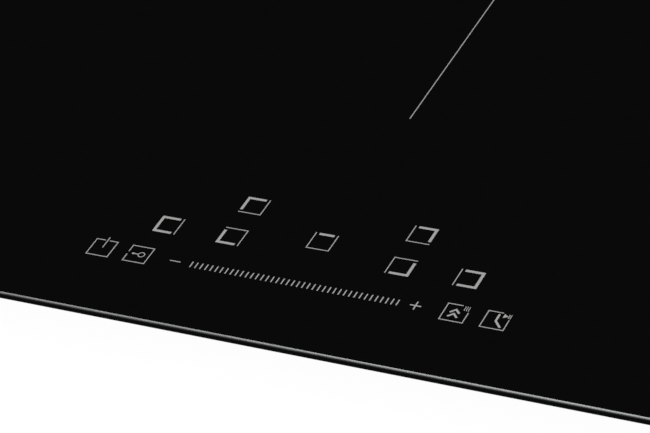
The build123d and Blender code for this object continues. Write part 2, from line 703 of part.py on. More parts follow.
def fan_lid():
    lid = raised(scroll_outline(), FAN_HEIGHT - FAN_WALL, FAN_WALL)
    return lid - Cylinder(SHAFT_R, 4 * FAN_HEIGHT)


def fan_motor():
    top = FAN_HEIGHT - FAN_WALL
    low = top - MOTOR_LENGTH
    return turned((0, low - SHAFT_LENGTH), (SHAFT_R, low - SHAFT_LENGTH), (SHAFT_R, low), (MOTOR_R, low),
                  (MOTOR_R, top), (0, top))


def blade_outline(inner):
    """Plan of one forward-curved blade, in two straight runs of even thickness."""
    points = []
    for half in (-BLADE_THICK / 2, BLADE_THICK / 2):
        root = Vector(inner, half)
        middle = Vector(inner + BLADE_DEPTH / 2, half).rotate(Axis.Z, -BLADE_SWEEP / 4)
        tip = Vector(WHEEL_R - BLADE_THICK / 4, half).rotate(Axis.Z, -BLADE_SWEEP)
        points.append([root, middle, tip])
    return make_face(Polyline(*points[0], *reversed(points[1]), close=True))


def fan_impeller():
    """Forward-curved wheel: cup over the motor, back plate, blades and inlet ring."""
    top = FAN_HEIGHT - FAN_WALL - WHEEL_RUNNING_GAP
    low = FAN_WALL + WHEEL_RUNNING_GAP
    cup_r = MOTOR_R + MOTOR_GAP
    cup_top = FAN_HEIGHT - FAN_WALL - MOTOR_LENGTH - MOTOR_GAP
    boss_low = FAN_HEIGHT - FAN_WALL - MOTOR_LENGTH - SHAFT_LENGTH
    bore = SHAFT_R + RUNNING_FIT
    wheel = turned((bore, boss_low), (BOSS_R, boss_low), (BOSS_R, cup_top - HUB_WALL),
                   (cup_r + HUB_WALL, cup_top - HUB_WALL), (cup_r + HUB_WALL, top - RING_THICK),
                   (WHEEL_R, top - RING_THICK), (WHEEL_R, top), (cup_r, top), (cup_r, cup_top),
                   (bore, cup_top))
    inner = WHEEL_R - BLADE_DEPTH
    wheel += raised(Circle(WHEEL_R) - Circle(inner + BLADE_DEPTH / 2), low, RING_THICK)
    blade = raised(blade_outline(inner), low + RING_THICK / 2, top - low - RING_THICK)
    wheel += [Rot(0, 0, 360 / BLADE_COUNT * i) * blade for i in range(BLADE_COUNT)]
    return wheel


# ================================================================ mains entry
def terminal_frame():
    """Moulded frame on the rear wall, with two ears whose pins carry the cover."""
    y0, y1 = PAN_BACK, PAN_BACK + FRAME_THICK
    half = FRAME_WIDTH / 2
    frame = block(-half, half, y0, y1, FRAME_FOOT, FRAME_FOOT + FRAME_HEIGHT)
    frame -= terminal_opening(y0 - FRAME_THICK, y1 + FRAME_THICK)
    ear_x = BARREL_X + BARREL_LENGTH / 2 + HINGE_CLEAR
    ear = extrude(Plane.YZ * (Pos(HINGE_Y, HINGE_Z) * Circle(BARREL_R)), EAR_THICK)
    ear += block(0, EAR_THICK, y1, HINGE_Y, HINGE_Z - BARREL_R, HINGE_Z + BARREL_R)
    pin = extrude(Plane.YZ * (Pos(HINGE_Y, HINGE_Z) * Circle(PIN_R)), -PIN_LENGTH)
    right = Pos(ear_x, 0, 0) * (ear + pin)
    return Pos(TERMINAL_X, 0, 0) * (frame + right + mirror(right, about=Plane.YZ))


def terminal_cover():
    """Hinged moulded lid, open towards the wall, with two barrels on its lower edge."""
    y0 = HINGE_Y - BARREL_R
    y1 = HINGE_Y + BARREL_R
    half = COVER_WIDTH / 2
    low = HINGE_Z + BARREL_R + COVER_CLEAR
    lid = block(-half, half, y0, y1, low, COVER_TOP)
    lid = chamfer(lid.faces().sort_by(Axis.Y)[-1].edges(), COVER_WALL / 2)
    lid -= block(-half + COVER_WALL, half - COVER_WALL, y0 - COVER_WALL, y1 - COVER_WALL,
                 low + COVER_WALL, COVER_TOP - COVER_WALL)
    for sign in (-1, 1):
        x = sign * BARREL_X
        reach = BARREL_LENGTH / 2
        barrel = extrude(Plane.YZ * (Pos(HINGE_Y, HINGE_Z) * Circle(BARREL_R)), reach, both=True)
        lid += Pos(x, 0, 0) * barrel
        lid += block(x - reach, x + reach, y0, y1, HINGE_Z, low + COVER_WALL)
        bore = extrude(Plane.YZ * (Pos(HINGE_Y, HINGE_Z) * Circle(PIN_R + RUNNING_FIT)), reach, both=True)
        lid -= Pos(x, 0, 0) * bore
    tab = TAB_WIDTH / 2
    lid += block(-tab, tab, y1 - COVER_WALL, y1, COVER_TOP - COVER_WALL, COVER_TOP + TAB_RISE)
    return Pos(TERMINAL_X, 0, 0) * lid


def terminal_block():
    """Five-pole block: a screw well and a wire entry for each pole."""
    y1 = PAN_BACK - BEND_R
    half = BLOCK_WIDTH / 2
    body = block(-half, half, y1 - BLOCK_DEPTH, y1, SHEET, SHEET + BLOCK_HEIGHT)
    pitch = BLOCK_WIDTH / BLOCK_POLES
    for i in range(BLOCK_POLES):
        x = -half + pitch * (i + 0.5)
        body -= Pos(x, y1 - BLOCK_DEPTH / 2, SHEET + BLOCK_HEIGHT) * Box(pitch / 2, pitch / 2, BLOCK_HEIGHT)
        body -= block(x - pitch / 3, x + pitch / 3, y1 - BLOCK_DEPTH / 4, y1 + BLOCK_DEPTH,
                      SHEET + BLOCK_HEIGHT / 4, SHEET + BLOCK_HEIGHT / 2)
    return Pos(TERMINAL_X, 0, 0) * body


def cable_gland():
    """Inlet gland: body through the wall, lock nut inside, hexagonal dome nut outside."""
    inner = -SHEET - GLAND_INNER
    outer = FLANGE
    body = turned((GLAND_BORE_R, inner), (GLAND_BODY_R, inner), (GLAND_BODY_R, GLAND_NUT),
                  (GLAND_BORE_R + GLAND_LIP, outer), (GLAND_BORE_R, outer))
    for z0, thick in ((-SHEET - GLAND_NUT, GLAND_NUT), (0, GLAND_NUT)):
        nut = RegularPolygon(GLAND_NUT_R, 6) - Circle(GLAND_BORE_R)
        body += raised(nut, z0, thick)
    return Pos(GLAND_X, PAN_BACK, GLAND_Z) * Rot(-90, 0, 0) * body


# ================================================================ worktop clamps
CLAMPS = {
    "front_left": (-1, -1),
    "front_right": (1, -1),
    "rear_left": (-1, 1),
    "rear_right": (1, 1),
}


def clamp_arm():
    """Formed steel strip, pivot at the origin, its tip along -Y: flat, ramp, raised tip."""
    half = CLAMP_WIDTH / 2
    t = CLAMP_THICK
    ramp_end = CLAMP_FIRST + CLAMP_RAMP
    side = [(half, 0), (-CLAMP_FIRST, 0), (-ramp_end, CLAMP_RISE), (-CLAMP_LENGTH, CLAMP_RISE),
            (-CLAMP_LENGTH, CLAMP_RISE + t), (-ramp_end, CLAMP_RISE + t), (-CLAMP_FIRST, t), (half, t)]
    strip = extrude(Plane.YZ * make_face(Polyline(*side, close=True)), half, both=True)
    plan = Pos(0, -CLAMP_LENGTH / 2 + half / 2) * cut_corners(CLAMP_WIDTH, CLAMP_LENGTH + half, CLAMP_CORNER)
    strip = strip & raised(plan, 0, CLAMP_RISE + t)
    strip -= Cylinder(CLAMP_SCREW_R + RUNNING_FIT, 4 * t)
    return Pos(0, 0, CLAMP_Z) * strip


def clamp_lug():
    """Angle bracket on the pan's right wall, local to the pivot; its hole guides the screw."""
    reach = CLAMP_X - PAN_SIDE
    leg = block(-reach, -reach + LUG_THICK, -LUG_WIDTH / 2, LUG_WIDTH / 2, LUG_Z, LUG_Z + LUG_HEIGHT)
    foot = block(-reach, CLAMP_WIDTH / 2, -LUG_WIDTH / 2, LUG_WIDTH / 2, LUG_Z, LUG_Z + LUG_THICK)
    hole = Pos(0, 0, LUG_Z) * Cylinder(CLAMP_SCREW_R + LUG_HOLE_CLEAR, 4 * LUG_THICK)
    return leg + foot - hole


def clamp_screw():
    """Hexagon-head screw from below, through the arm and the lug."""
    screw = hex_screw(CLAMP_SCREW_R, CLAMP_SCREW_TOP - CLAMP_HEAD_Z - CLAMP_HEAD, CLAMP_HEAD_R, CLAMP_HEAD)
    return Pos(0, 0, CLAMP_HEAD_Z + CLAMP_HEAD) * Rot(180, 0, 0) * screw


# ================================================================ ribbon cable
def ribbon_cable():
    """Flat cable from the control board down to the left power board, with its two plugs."""
    board_edge = -FLEX_X + POWER_WIDTH / 2
    control_edge = -CONTROL_WIDTH / 2
    drop_x = (control_edge - TRAY_INNER) / 2
    high = BOARD_Z - PLUG_HEIGHT / 2
    low = POWER_Z + BOARD_THICK + PLUG_HEIGHT / 2
    start = control_edge + 3 * CONTROL_WALL
    end = board_edge - PLUG_LENGTH
    path = FilletPolyline((start, high), (drop_x, high), (drop_x, low), (end, low), radius=RIBBON_R)
    strip = extrude(Plane.XZ * trace(path, RIBBON_THICK), RIBBON_WIDTH / 2, both=True)
    half = RIBBON_WIDTH / 2
    strip += block(start, start + PLUG_LENGTH, -half, half, BOARD_Z - PLUG_HEIGHT, BOARD_Z)
    strip += block(end - PLUG_LENGTH / 2, end + PLUG_LENGTH / 2, -half, half,
                   POWER_Z + BOARD_THICK, POWER_Z + BOARD_THICK + PLUG_HEIGHT)
    return Pos(0, GLASS_FRONT + RIBBON_FRONT, 0) * strip


# ================================================================ assembly
def build():
    nodes = {
        "glass_top": glass_top(),
        "edge_seal": edge_seal(),
        "glass_bond": glass_bond(),
        "base_pan": base_pan(),
        "tray_pillars": tray_pillars(),
        "tray_screws": tray_screws(),
        "control_tray": control_tray(),
        "control_board": control_board(),
        "touch_pads": touch_pads(),
        "display_modules": display_modules(),
        "ribbon_cable": ribbon_cable(),
        "filter_board": filter_board(),
        "filter_choke": filter_choke(),
        "filter_capacitors": filter_capacitors(),
        "terminal_frame": terminal_frame(),
        "terminal_cover": terminal_cover(),
        "terminal_block": terminal_block(),
        "cable_gland": cable_gland(),
    }

    # Coil packs: winding and carrier per zone, then trays and insulation per side.
    zones = dict(FLEX_ZONES, centre=(0.0, CENTRE_Y))
    for zone, (x, y) in zones.items():
        nodes[f"winding_{zone}"] = Pos(x, y, 0) * winding(zone)
        nodes[f"coil_carrier_{zone}"] = Pos(x, y, 0) * coil_carrier(zone)
    nodes["ferrite_bars"] = [Pos(*place, 0) * bar
                             for zone, place in zones.items() for bar in ferrite_set(zone)]
    nodes["zone_sensors"] = [Pos(x, y, 0) * zone_sensor() for x, y in zones.values()]

    flex_middle = (FLEX_FRONT_Y + FLEX_REAR_Y) / 2
    flex_length = FLEX_REAR_Y - FLEX_FRONT_Y + FLEX_COIL_DEPTH
    flex_sheet = RectangleRounded(FLEX_COIL_WIDTH, flex_length, COIL_CORNER_R)
    for side, sign in SIDES.items():
        own = [place for place in FLEX_ZONES.values() if place[0] * sign > 0]
        x0, x1 = sorted((sign * TRAY_INNER, sign * TRAY_OUTER))
        nodes[f"coil_tray_{side}"] = coil_tray(x0, x1, TRAY_FRONT, TRAY_BACK, own)
        nodes[f"insulation_{side}"] = insulation_sheet(sign * FLEX_X, flex_middle, flex_sheet, own)
    centre = [(0.0, CENTRE_Y)]
    nodes["coil_tray_centre"] = coil_tray(-CENTRE_TRAY_SIDE, CENTRE_TRAY_SIDE, CENTRE_TRAY_FRONT,
                                          TRAY_BACK, centre)
    nodes["insulation_centre"] = insulation_sheet(0, CENTRE_Y, Circle(CENTRE_COIL_DIA / 2), centre)

    # Power electronics and fans, one of each per side; the right side mirrors the left.
    for side, sign in SIDES.items():
        place = Pos(sign * FLEX_X, 0, 0)
        fan_place = Pos(sign * FLEX_X, FAN_Y, FAN_Z)
        parts = {
            "board_carrier": (place, board_carrier()),
            "power_board": (place, power_board()),
            "heatsink": (place, heatsink()),
            "power_switches": (place, power_switches()),
            "capacitors": (place, capacitors()),
            "fan_housing": (fan_place, fan_housing()),
            "fan_lid": (fan_place, fan_lid()),
            "fan_motor": (fan_place, fan_motor()),
            "fan_impeller": (fan_place, fan_impeller()),
        }
        for name, (where, shape) in parts.items():
            solids = shape if isinstance(shape, list) else [shape]
            if sign > 0:
                solids = [mirror(s, about=Plane.YZ) for s in solids]
            nodes[f"{name}_{side}"] = [where * s for s in solids]

    # Worktop clamps: an arm each, and the lugs and screws that hold them.
    lugs, screws = [], []
    for name, (sx, sy) in CLAMPS.items():
        pivot = Pos(sx * CLAMP_X, sy * CLAMP_Y, 0)
        arm = clamp_arm()
        lug = clamp_lug()
        if sy < 0:
            arm = mirror(arm, about=Plane.XZ)
        if sx < 0:
            lug = mirror(lug, about=Plane.YZ)
        nodes[f"clamp_arm_{name}"] = pivot * arm
        lugs.append(pivot * lug)
        screws.append(pivot * clamp_screw())
    nodes["clamp_lugs"] = lugs
    nodes["clamp_screws"] = screws
    return nodes


def flat_solids(shape):
    """Every solid of a shape, or of a list of shapes."""
    shapes = shape if isinstance(shape, list) else [shape]
    return [solid for s in shapes for solid in s.solids()]


os.makedirs("parts", exist_ok=True)
for node, shape in build().items():
    solids = flat_solids(shape)
    export_step(solids[0] if len(solids) == 1 else Compound(children=solids), f"parts/{node}.step")
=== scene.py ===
import math

import bpy
from mathutils import Matrix, Vector


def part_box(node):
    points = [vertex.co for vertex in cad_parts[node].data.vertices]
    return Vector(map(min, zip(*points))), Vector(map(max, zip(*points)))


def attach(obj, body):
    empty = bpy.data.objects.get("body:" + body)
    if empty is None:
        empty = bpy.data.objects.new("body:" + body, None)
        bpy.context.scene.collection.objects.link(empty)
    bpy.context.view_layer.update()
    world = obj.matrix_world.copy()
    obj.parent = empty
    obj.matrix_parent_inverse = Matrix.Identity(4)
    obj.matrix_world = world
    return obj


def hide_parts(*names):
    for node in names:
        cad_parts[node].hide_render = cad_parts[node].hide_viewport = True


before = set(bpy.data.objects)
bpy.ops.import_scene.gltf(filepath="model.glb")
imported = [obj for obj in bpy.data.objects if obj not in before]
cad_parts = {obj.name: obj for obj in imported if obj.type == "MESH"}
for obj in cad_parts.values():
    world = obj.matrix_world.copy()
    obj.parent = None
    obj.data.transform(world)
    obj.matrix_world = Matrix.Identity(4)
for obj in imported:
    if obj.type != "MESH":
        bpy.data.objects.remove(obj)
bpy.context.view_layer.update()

# ---------------------------------------------------------------- ceramic glass
# The cooktop's plate: 4 mm glass-ceramic, black all through, rolled and polished.
# Its upper edge is ground round, and its ground grey also carries a painted highlight.
MM = 0.001
CORNER, ROUND, ARRIS = 8.0 * MM, 1.0 * MM, 0.3 * MM     # corners in plan, upper edge, lower edge
BORDER = 0.5 * MM            # ring of narrow faces round the flat top
HAIR = 0.02 * MM             # tolerance for finding points by their place
GLASS_LOW, GLASS_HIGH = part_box("glass_top")
GLASS_TOP = GLASS_HIGH.z


def srgb(code):
    """Linear colour of an sRGB hex value."""
    parts = [int(code[i:i + 2], 16) / 255 for i in (1, 3, 5)]
    return tuple(c / 12.92 if c <= 0.04045 else ((c + 0.055) / 1.055) ** 2.4 for c in parts) + (1.0,)


def finish(name, **sockets):
    """A new material, with the values that are the same all over its surface."""
    material = bpy.data.materials.new(name)
    material.use_nodes = True
    surface = material.node_tree.nodes["Principled BSDF"]
    for socket, value in sockets.items():
        surface.inputs[socket.replace("_", " ")].default_value = value
    return material


def add(material, kind, inputs, **settings):
    """Adds a node; each input is a value, or the output that feeds it."""
    tree = material.node_tree
    node = tree.nodes.new("ShaderNode" + kind)
    for setting, value in settings.items():
        setattr(node, setting, value)
    for name, value in inputs.items():
        if isinstance(value, bpy.types.NodeSocket):
            tree.links.new(value, node.inputs[name])
        else:
            node.inputs[name].default_value = value
    return node


def feed(material, **links):
    """Links outputs into the material's surface."""
    surface = material.node_tree.nodes["Principled BSDF"]
    for socket, output in links.items():
        material.node_tree.links.new(output, surface.inputs[socket.replace("_", " ")])


def grained(name, dark, light, grain, detail=2.0, distortion=0.0, pull=None, rough=None, raised=0.0,
            **sockets):
    """A material with one irregular grain, which a pull in X, Y and Z can draw out into lines.

    The grain varies the colour and, where these are given, the roughness and the height.
    """
    material = finish(name, **sockets)
    place = add(material, "TexCoord", {}).outputs["Object"]
    if pull:
        place = add(material, "Mapping", {"Vector": place, "Scale": pull}).outputs[0]
    marks = add(material, "TexNoise", {"Vector": place, "Scale": 1 / grain, "Detail": detail,
                                       "Distortion": distortion}).outputs["Fac"]
    colour = add(material, "Mix", {0: marks, 6: srgb(dark), 7: srgb(light)}, data_type="RGBA").outputs[2]
    feed(material, Base_Color=colour)
    if rough:
        dull = add(material, "MapRange", {"Value": marks, "To Min": rough[0], "To Max": rough[1]})
        feed(material, Roughness=dull.outputs[0])
    if raised:
        bumps = add(material, "Bump", {"Height": marks, "Distance": raised})
        feed(material, Normal=bumps.outputs["Normal"])
    return material


# Polished black glass-ceramic: deep black with a hard, clean gloss.
ceramic = grained("polished_glass_ceramic", "#090909", "#0B0B0B", grain=4.0 * MM, rough=(0.045, 0.06),
                  IOR=1.54)

# Ground glass: the rounding is pale grey with fine scratches, partly its own ground grey and partly a
# painted highlight, painted brighter towards the right. Lower down, the painted highlight thins out and
# the black coat begins.
SCRATCH, SCRATCH_DEPTH = 1.2 * MM, 0.4      # drawn coarser than real, to show
PAINTED_LIGHT_REACH, PAINTED_LIGHT_GAIN = 200.0 * MM, 0.6    # the painted light grows towards the right over twice this reach
GREY_END = GLASS_TOP - 0.88 * ROUND
facet = finish("ground_glass_with_painted_highlight", IOR=1.54, Specular_IOR_Level=0.25)
place = add(facet, "TexCoord", {}).outputs["Object"]
spot = add(facet, "SeparateXYZ", {"Vector": place}).outputs
# Painted highlight: the grey fades out down the rounding, from the top to GREY_END.
painted_highlight_fade = add(facet, "MapRange", {"Value": spot["Z"], "From Min": GREY_END, "From Max": GLASS_TOP}).outputs[0]
scratches = add(facet, "TexNoise", {"Vector": place, "Scale": 1 / SCRATCH, "Detail": 3.0}).outputs["Fac"]
# Painted light: the rounding's grey is painted brighter towards the right.
painted_light_to_right = add(facet, "MapRange", {"Value": spot["X"], "From Min": -PAINTED_LIGHT_REACH, "From Max": PAINTED_LIGHT_REACH,
                               "To Max": PAINTED_LIGHT_GAIN}).outputs[0]
scratches_and_painted_light = add(facet, "Math", {0: scratches, 1: SCRATCH_DEPTH, 2: painted_light_to_right}, operation="MULTIPLY_ADD").outputs[0]
# Painted highlight colours, laid over the ground glass's own pale grey.
ground_grey_and_highlight = add(facet, "Mix", {0: scratches_and_painted_light, 6: srgb("#797A7B"), 7: srgb("#BDBEBF")}, data_type="RGBA").outputs[2]
colour = add(facet, "Mix", {0: painted_highlight_fade, 6: srgb("#060606"), 7: ground_grey_and_highlight}, data_type="RGBA").outputs[2]
rough = add(facet, "MapRange", {"Value": scratches, "To Min": 0.42, "To Max": 0.6}).outputs[0]
feed(facet, Base_Color=colour, Roughness=rough)

# Ceramic coat on the cut rim and the underside: matt black, and it hides the wheel marks. Just under
# the rounding it is painted a little grey, a painted highlight that trails below the rounded edge.
BRUSH_MARK = 0.7 * MM
HIGHLIGHT_TAIL_START, HIGHLIGHT_TAIL_END, HIGHLIGHT_TAIL = GLASS_TOP - 1.8 * ROUND, GLASS_TOP - 0.9 * ROUND, 0.085
coat = finish("matt_black_ceramic_coat", IOR=1.2, Specular_IOR_Level=0.1)
place = add(coat, "TexCoord", {}).outputs["Object"]
brushed = add(coat, "TexNoise", {"Vector": place, "Scale": 1 / BRUSH_MARK, "Detail": 3.0}).outputs["Fac"]
black = add(coat, "Mix", {0: brushed, 6: srgb("#030303"), 7: srgb("#070707")}, data_type="RGBA").outputs[2]
height = add(coat, "SeparateXYZ", {"Vector": place}).outputs["Z"]
# Painted highlight: a faint grey band just under the rounding.
painted_highlight_tail = add(coat, "MapRange", {"Value": height, "From Min": HIGHLIGHT_TAIL_START, "From Max": HIGHLIGHT_TAIL_END,
                              "To Max": HIGHLIGHT_TAIL}).outputs[0]
colour = add(coat, "Mix", {0: painted_highlight_tail, 6: black, 7: srgb("#8C8D8E")}, data_type="RGBA").outputs[2]
rough = add(coat, "MapRange", {"Value": brushed, "To Min": 0.7, "To Max": 0.9}).outputs[0]
feed(coat, Base_Color=colour, Roughness=rough)


def pick(piece, kind, wanted):
    """Selects those points, edges or faces of a piece in edit mode whose place passes a test."""
    bpy.ops.mesh.select_mode(type=kind)
    bpy.ops.mesh.select_all(action="DESELECT")
    bpy.ops.object.mode_set(mode="OBJECT")
    points = piece.data.vertices
    if kind == "VERT":
        for point in points:
            point.select = wanted(point.co)
    elif kind == "EDGE":
        for edge in piece.data.edges:
            edge.select = wanted(*(points[i].co for i in edge.vertices))
    else:
        for face in piece.data.polygons:
            face.select = wanted(face.center)
    bpy.ops.object.mode_set(mode="EDIT")


def leave_edit():
    """Goes back to object mode, and leaves points as what is picked next."""
    bpy.ops.mesh.select_mode(type="VERT")
    bpy.ops.object.mode_set(mode="OBJECT")


# The plate is cut to size, its corners rounded, then its upper and lower edges ground. A narrow
# border round the top keeps the rounding's smooth shading off the flat surface.
bpy.ops.object.select_all(action="DESELECT")
bpy.ops.mesh.primitive_cube_add(size=1.0, location=(0, 0, 0))
plate = bpy.context.object
plate.name = plate.data.name = "glass_plate"
bpy.ops.object.mode_set(mode="EDIT")
bpy.ops.transform.resize(value=GLASS_HIGH - GLASS_LOW)
bpy.ops.transform.translate(value=(GLASS_HIGH + GLASS_LOW) / 2)
pick(plate, "EDGE", lambda a, b: abs(a.z - b.z) > HAIR)
bpy.ops.mesh.bevel(offset=CORNER, segments=10, affect="EDGES")
pick(plate, "EDGE", lambda a, b: min(a.z, b.z) > GLASS_TOP - HAIR)
bpy.ops.mesh.bevel(offset=ROUND, segments=6, affect="EDGES")
pick(plate, "EDGE", lambda a, b: max(a.z, b.z) < GLASS_LOW.z + HAIR)
bpy.ops.mesh.bevel(offset=ARRIS, segments=1, affect="EDGES")
pick(plate, "FACE", lambda middle: middle.z > GLASS_TOP - HAIR)
bpy.ops.mesh.inset(thickness=BORDER, use_even_offset=True)
leave_edit()
bpy.ops.object.shade_smooth_by_angle(angle=math.radians(20))
for material in (ceramic, facet, coat):
    plate.data.materials.append(material)
for face in plate.data.polygons:
    on_top = face.center.z > GLASS_TOP - HAIR
    on_round = GLASS_TOP - ROUND < face.center.z < GLASS_TOP - HAIR
    face.material_index = 0 if on_top else 1 if on_round else 2
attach(plate, "hob")
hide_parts("glass_top")

# ---------------------------------------------------------------- printed keys
# Pale grey ceramic enamel, screen printed on the glass and fired into it.
# Each key is a square with thin lines, or with thick bars on the sides that face its zone.
# Places and sizes of the print are in mm, and places start at the middle of the front edge.
FILM = 0.10 * MM             # depth of the fired film
PROUD = 0.03 * MM            # the part of it that stands above the glass
FRONT_EDGE = GLASS_LOW.y
PITCH = 13.65                # square's side, between the middles of its lines
HALF = PITCH / 2
LINE = 0.60                  # thin line
BAR = 1.75                   # thick bar
BAR_LENGTH = 0.865 * PITCH   # from the square's outer edge
EDGE = -LINE / 2             # outer edge of the near line, from its middle
REACH = PITCH + LINE / 2     # outer edge of the far line, from the near line's middle
WHOLE = ((EDGE, REACH),)     # a side that is drawn from corner to corner

# Fired enamel: an even grey with a low sheen and a fine grain.
enamel = grained("fired_screen_print_enamel", "#989897", "#B0B0AF", grain=0.6 * MM, detail=4.0,
                 rough=(0.4, 0.6), IOR=1.5)

ROUND_END = 0.49             # share of a strip's width that rounds off each corner of its end


def start_flat(width, depth, x=0.0, y=0.0):
    """A flat rectangle in plan, in mm, ready in edit mode with all of it selected."""
    bpy.ops.object.select_all(action="DESELECT")
    bpy.ops.mesh.primitive_plane_add(size=1.0, location=(0, 0, 0))
    flat = bpy.context.object
    bpy.ops.object.mode_set(mode="EDIT")
    bpy.ops.mesh.select_all(action="SELECT")
    bpy.ops.transform.resize(value=(width * MM, depth * MM, 1))
    bpy.ops.transform.translate(value=(x * MM, y * MM, 0))
    return flat


def score(axis, *places):
    """Divides the flat piece in hand across its X or Y axis, at places in mm."""
    across = Vector((1, 0, 0)) if axis == "X" else Vector((0, 1, 0))
    for place in places:
        bpy.ops.mesh.select_all(action="SELECT")
        bpy.ops.mesh.bisect(plane_co=across * place * MM, plane_no=across)


def stencil(bars):
    """A flat piece that covers the bars (x0, x1, y0, y1), cut out of one rectangle."""
    xs = sorted({v for b in bars for v in b[:2]})
    ys = sorted({v for b in bars for v in b[2:]})
    flat = start_flat(xs[-1] - xs[0], ys[-1] - ys[0], (xs[0] + xs[-1]) / 2, (ys[0] + ys[-1]) / 2)
    score("X", *xs[1:-1])
    score("Y", *ys[1:-1])

    def is_bare(middle):
        x, y = middle.x / MM, middle.y / MM
        return not any(b[0] < x < b[1] and b[2] < y < b[3] for b in bars)

    pick(flat, "FACE", is_bare)
    bpy.ops.mesh.delete(type="FACE")
    leave_edit()
    return flat


def set_down(piece, x, y, z, turn=0.0):
    """Moves a piece to its place, in metres, and turns it round the upright axis."""
    bpy.ops.object.select_all(action="DESELECT")
    piece.select_set(True)
    bpy.context.view_layer.objects.active = piece
    piece.rotation_euler.z = turn
    piece.location = (x, y, z)
    bpy.ops.object.transform_apply(location=True, rotation=True, scale=True)
    return piece


def settle(flat, x, y, turn=0.0):
    """Lays a flat piece on the glass at a place in mm, and turns it."""
    return set_down(flat, x * MM, FRONT_EDGE + y * MM, GLASS_TOP + PROUD, turn)


def repeat(model, count):
    """A finished model and its copies, each with its own mesh."""
    copies = [model]
    while len(copies) < count:
        copy = model.copy()
        copy.data = model.data.copy()
        bpy.context.collection.objects.link(copy)
        copies.append(copy)
    return copies


def apply_to(piece, kind, **settings):
    """Adds a modifier to a piece and applies it."""
    modifier = piece.modifiers.new(kind.lower(), kind)
    for setting, value in settings.items():
        setattr(modifier, setting, value)
    bpy.context.view_layer.objects.active = piece
    bpy.ops.object.modifier_apply(modifier=modifier.name)


def thicken(flat):
    """Gives a flat piece the film's depth, downwards."""
    apply_to(flat, "SOLIDIFY", thickness=FILM, offset=-1.0)


def join(name, pieces):
    """Joins pieces into the first of them, under a new name."""
    bpy.ops.object.select_all(action="DESELECT")
    for piece in pieces:
        piece.select_set(True)
    whole = pieces[0]
    bpy.context.view_layer.objects.active = whole
    if len(pieces) > 1:
        bpy.ops.object.join()
    whole.name = whole.data.name = name
    return whole


def fix(mark):
    """Gives a mark its enamel and fixes it to the glass."""
    mark.data.materials.append(enamel)
    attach(mark, "hob")


def fire(name, *flats):
    """Joins flat pieces into one mark, gives it the film's depth and fixes it to the glass."""
    mark = join(name, flats)
    thicken(mark)
    fix(mark)


def key_lines(left=(), right=(), top=(), bottom=()):
    """Thin lines of a square; each side is given as the stretches of it that are drawn."""
    near, far = (EDGE, -EDGE), (PITCH + EDGE, REACH)
    upright = [near + run for run in left] + [far + run for run in right]
    return upright + [run + far for run in top] + [run + near for run in bottom]


# Zone keys: the thick bars stand at the corner or side where the zone lies. Each key has the
# place of its middle, its bars and its thin lines, and the right ones mirror the left ones.
ZONE_X, BRIDGE_X = 52.4, 93.0
NEAR_Y, CENTRE_Y, FAR_Y = 80.2, 89.1, 109.1
MIDDLE_BAR = 0.68 * PITCH    # length of the bar at the middle of a side
near_bar, far_bar = (EDGE, EDGE + BAR), (REACH - BAR, REACH)
near_run, far_run = (EDGE, EDGE + BAR_LENGTH), (REACH - BAR_LENGTH, REACH)
middle_run, whole_run = (HALF - MIDDLE_BAR / 2, HALF + MIDDLE_BAR / 2), (EDGE, REACH)
zone_keys = {
    "rear_left": (-ZONE_X, FAR_Y, [near_bar + far_run, near_run + far_bar],
                  dict(right=WHOLE, bottom=WHOLE)),
    "front_left": (-ZONE_X, NEAR_Y, [near_bar + near_run, near_run + near_bar],
                   dict(right=WHOLE, top=WHOLE)),
    "bridge_left": (-BRIDGE_X, NEAR_Y, [near_bar + whole_run, near_run + near_bar, near_run + far_bar],
                    dict(right=WHOLE)),
    "centre": (0.0, CENTRE_Y, [middle_run + far_bar],
               dict(left=WHOLE, right=WHOLE, bottom=WHOLE)),
}
for key in ("rear", "front", "bridge"):
    x, y, bars, lines = zone_keys[key + "_left"]
    mirrored = [(PITCH - b[1], PITCH - b[0], b[2], b[3]) for b in bars]
    lines = {"left" if edge == "right" else edge: runs for edge, runs in lines.items()}
    zone_keys[key + "_right"] = (-x, y, mirrored, lines)
for zone, (x, y, bars, lines) in zone_keys.items():
    fire("key_zone_" + zone, settle(stencil(bars + key_lines(**lines)), x - HALF, y - HALF))

# Main switch: a square with a gap in its rear line, and a stroke that passes through the gap.
INNER_X, OUTER_X, ROW_Y = 97.3, 120.9, 51.4         # middles of the front row's keys
SWITCH_GAP_START, SWITCH_GAP_END = 0.40 * PITCH, 0.60 * PITCH
STROKE_X, STROKE_FOOT, STROKE_TIP = 0.505 * PITCH, 0.52 * PITCH, 1.21 * PITCH
row_low = ROW_Y - HALF
bars = key_lines(left=WHOLE, right=WHOLE, bottom=WHOLE,
                 top=((EDGE, SWITCH_GAP_START), (SWITCH_GAP_END, REACH)))
bars.append((STROKE_X - LINE / 2, STROKE_X + LINE / 2, STROKE_FOOT, STROKE_TIP))
fire("key_power", settle(stencil(bars), -OUTER_X - HALF, row_low))

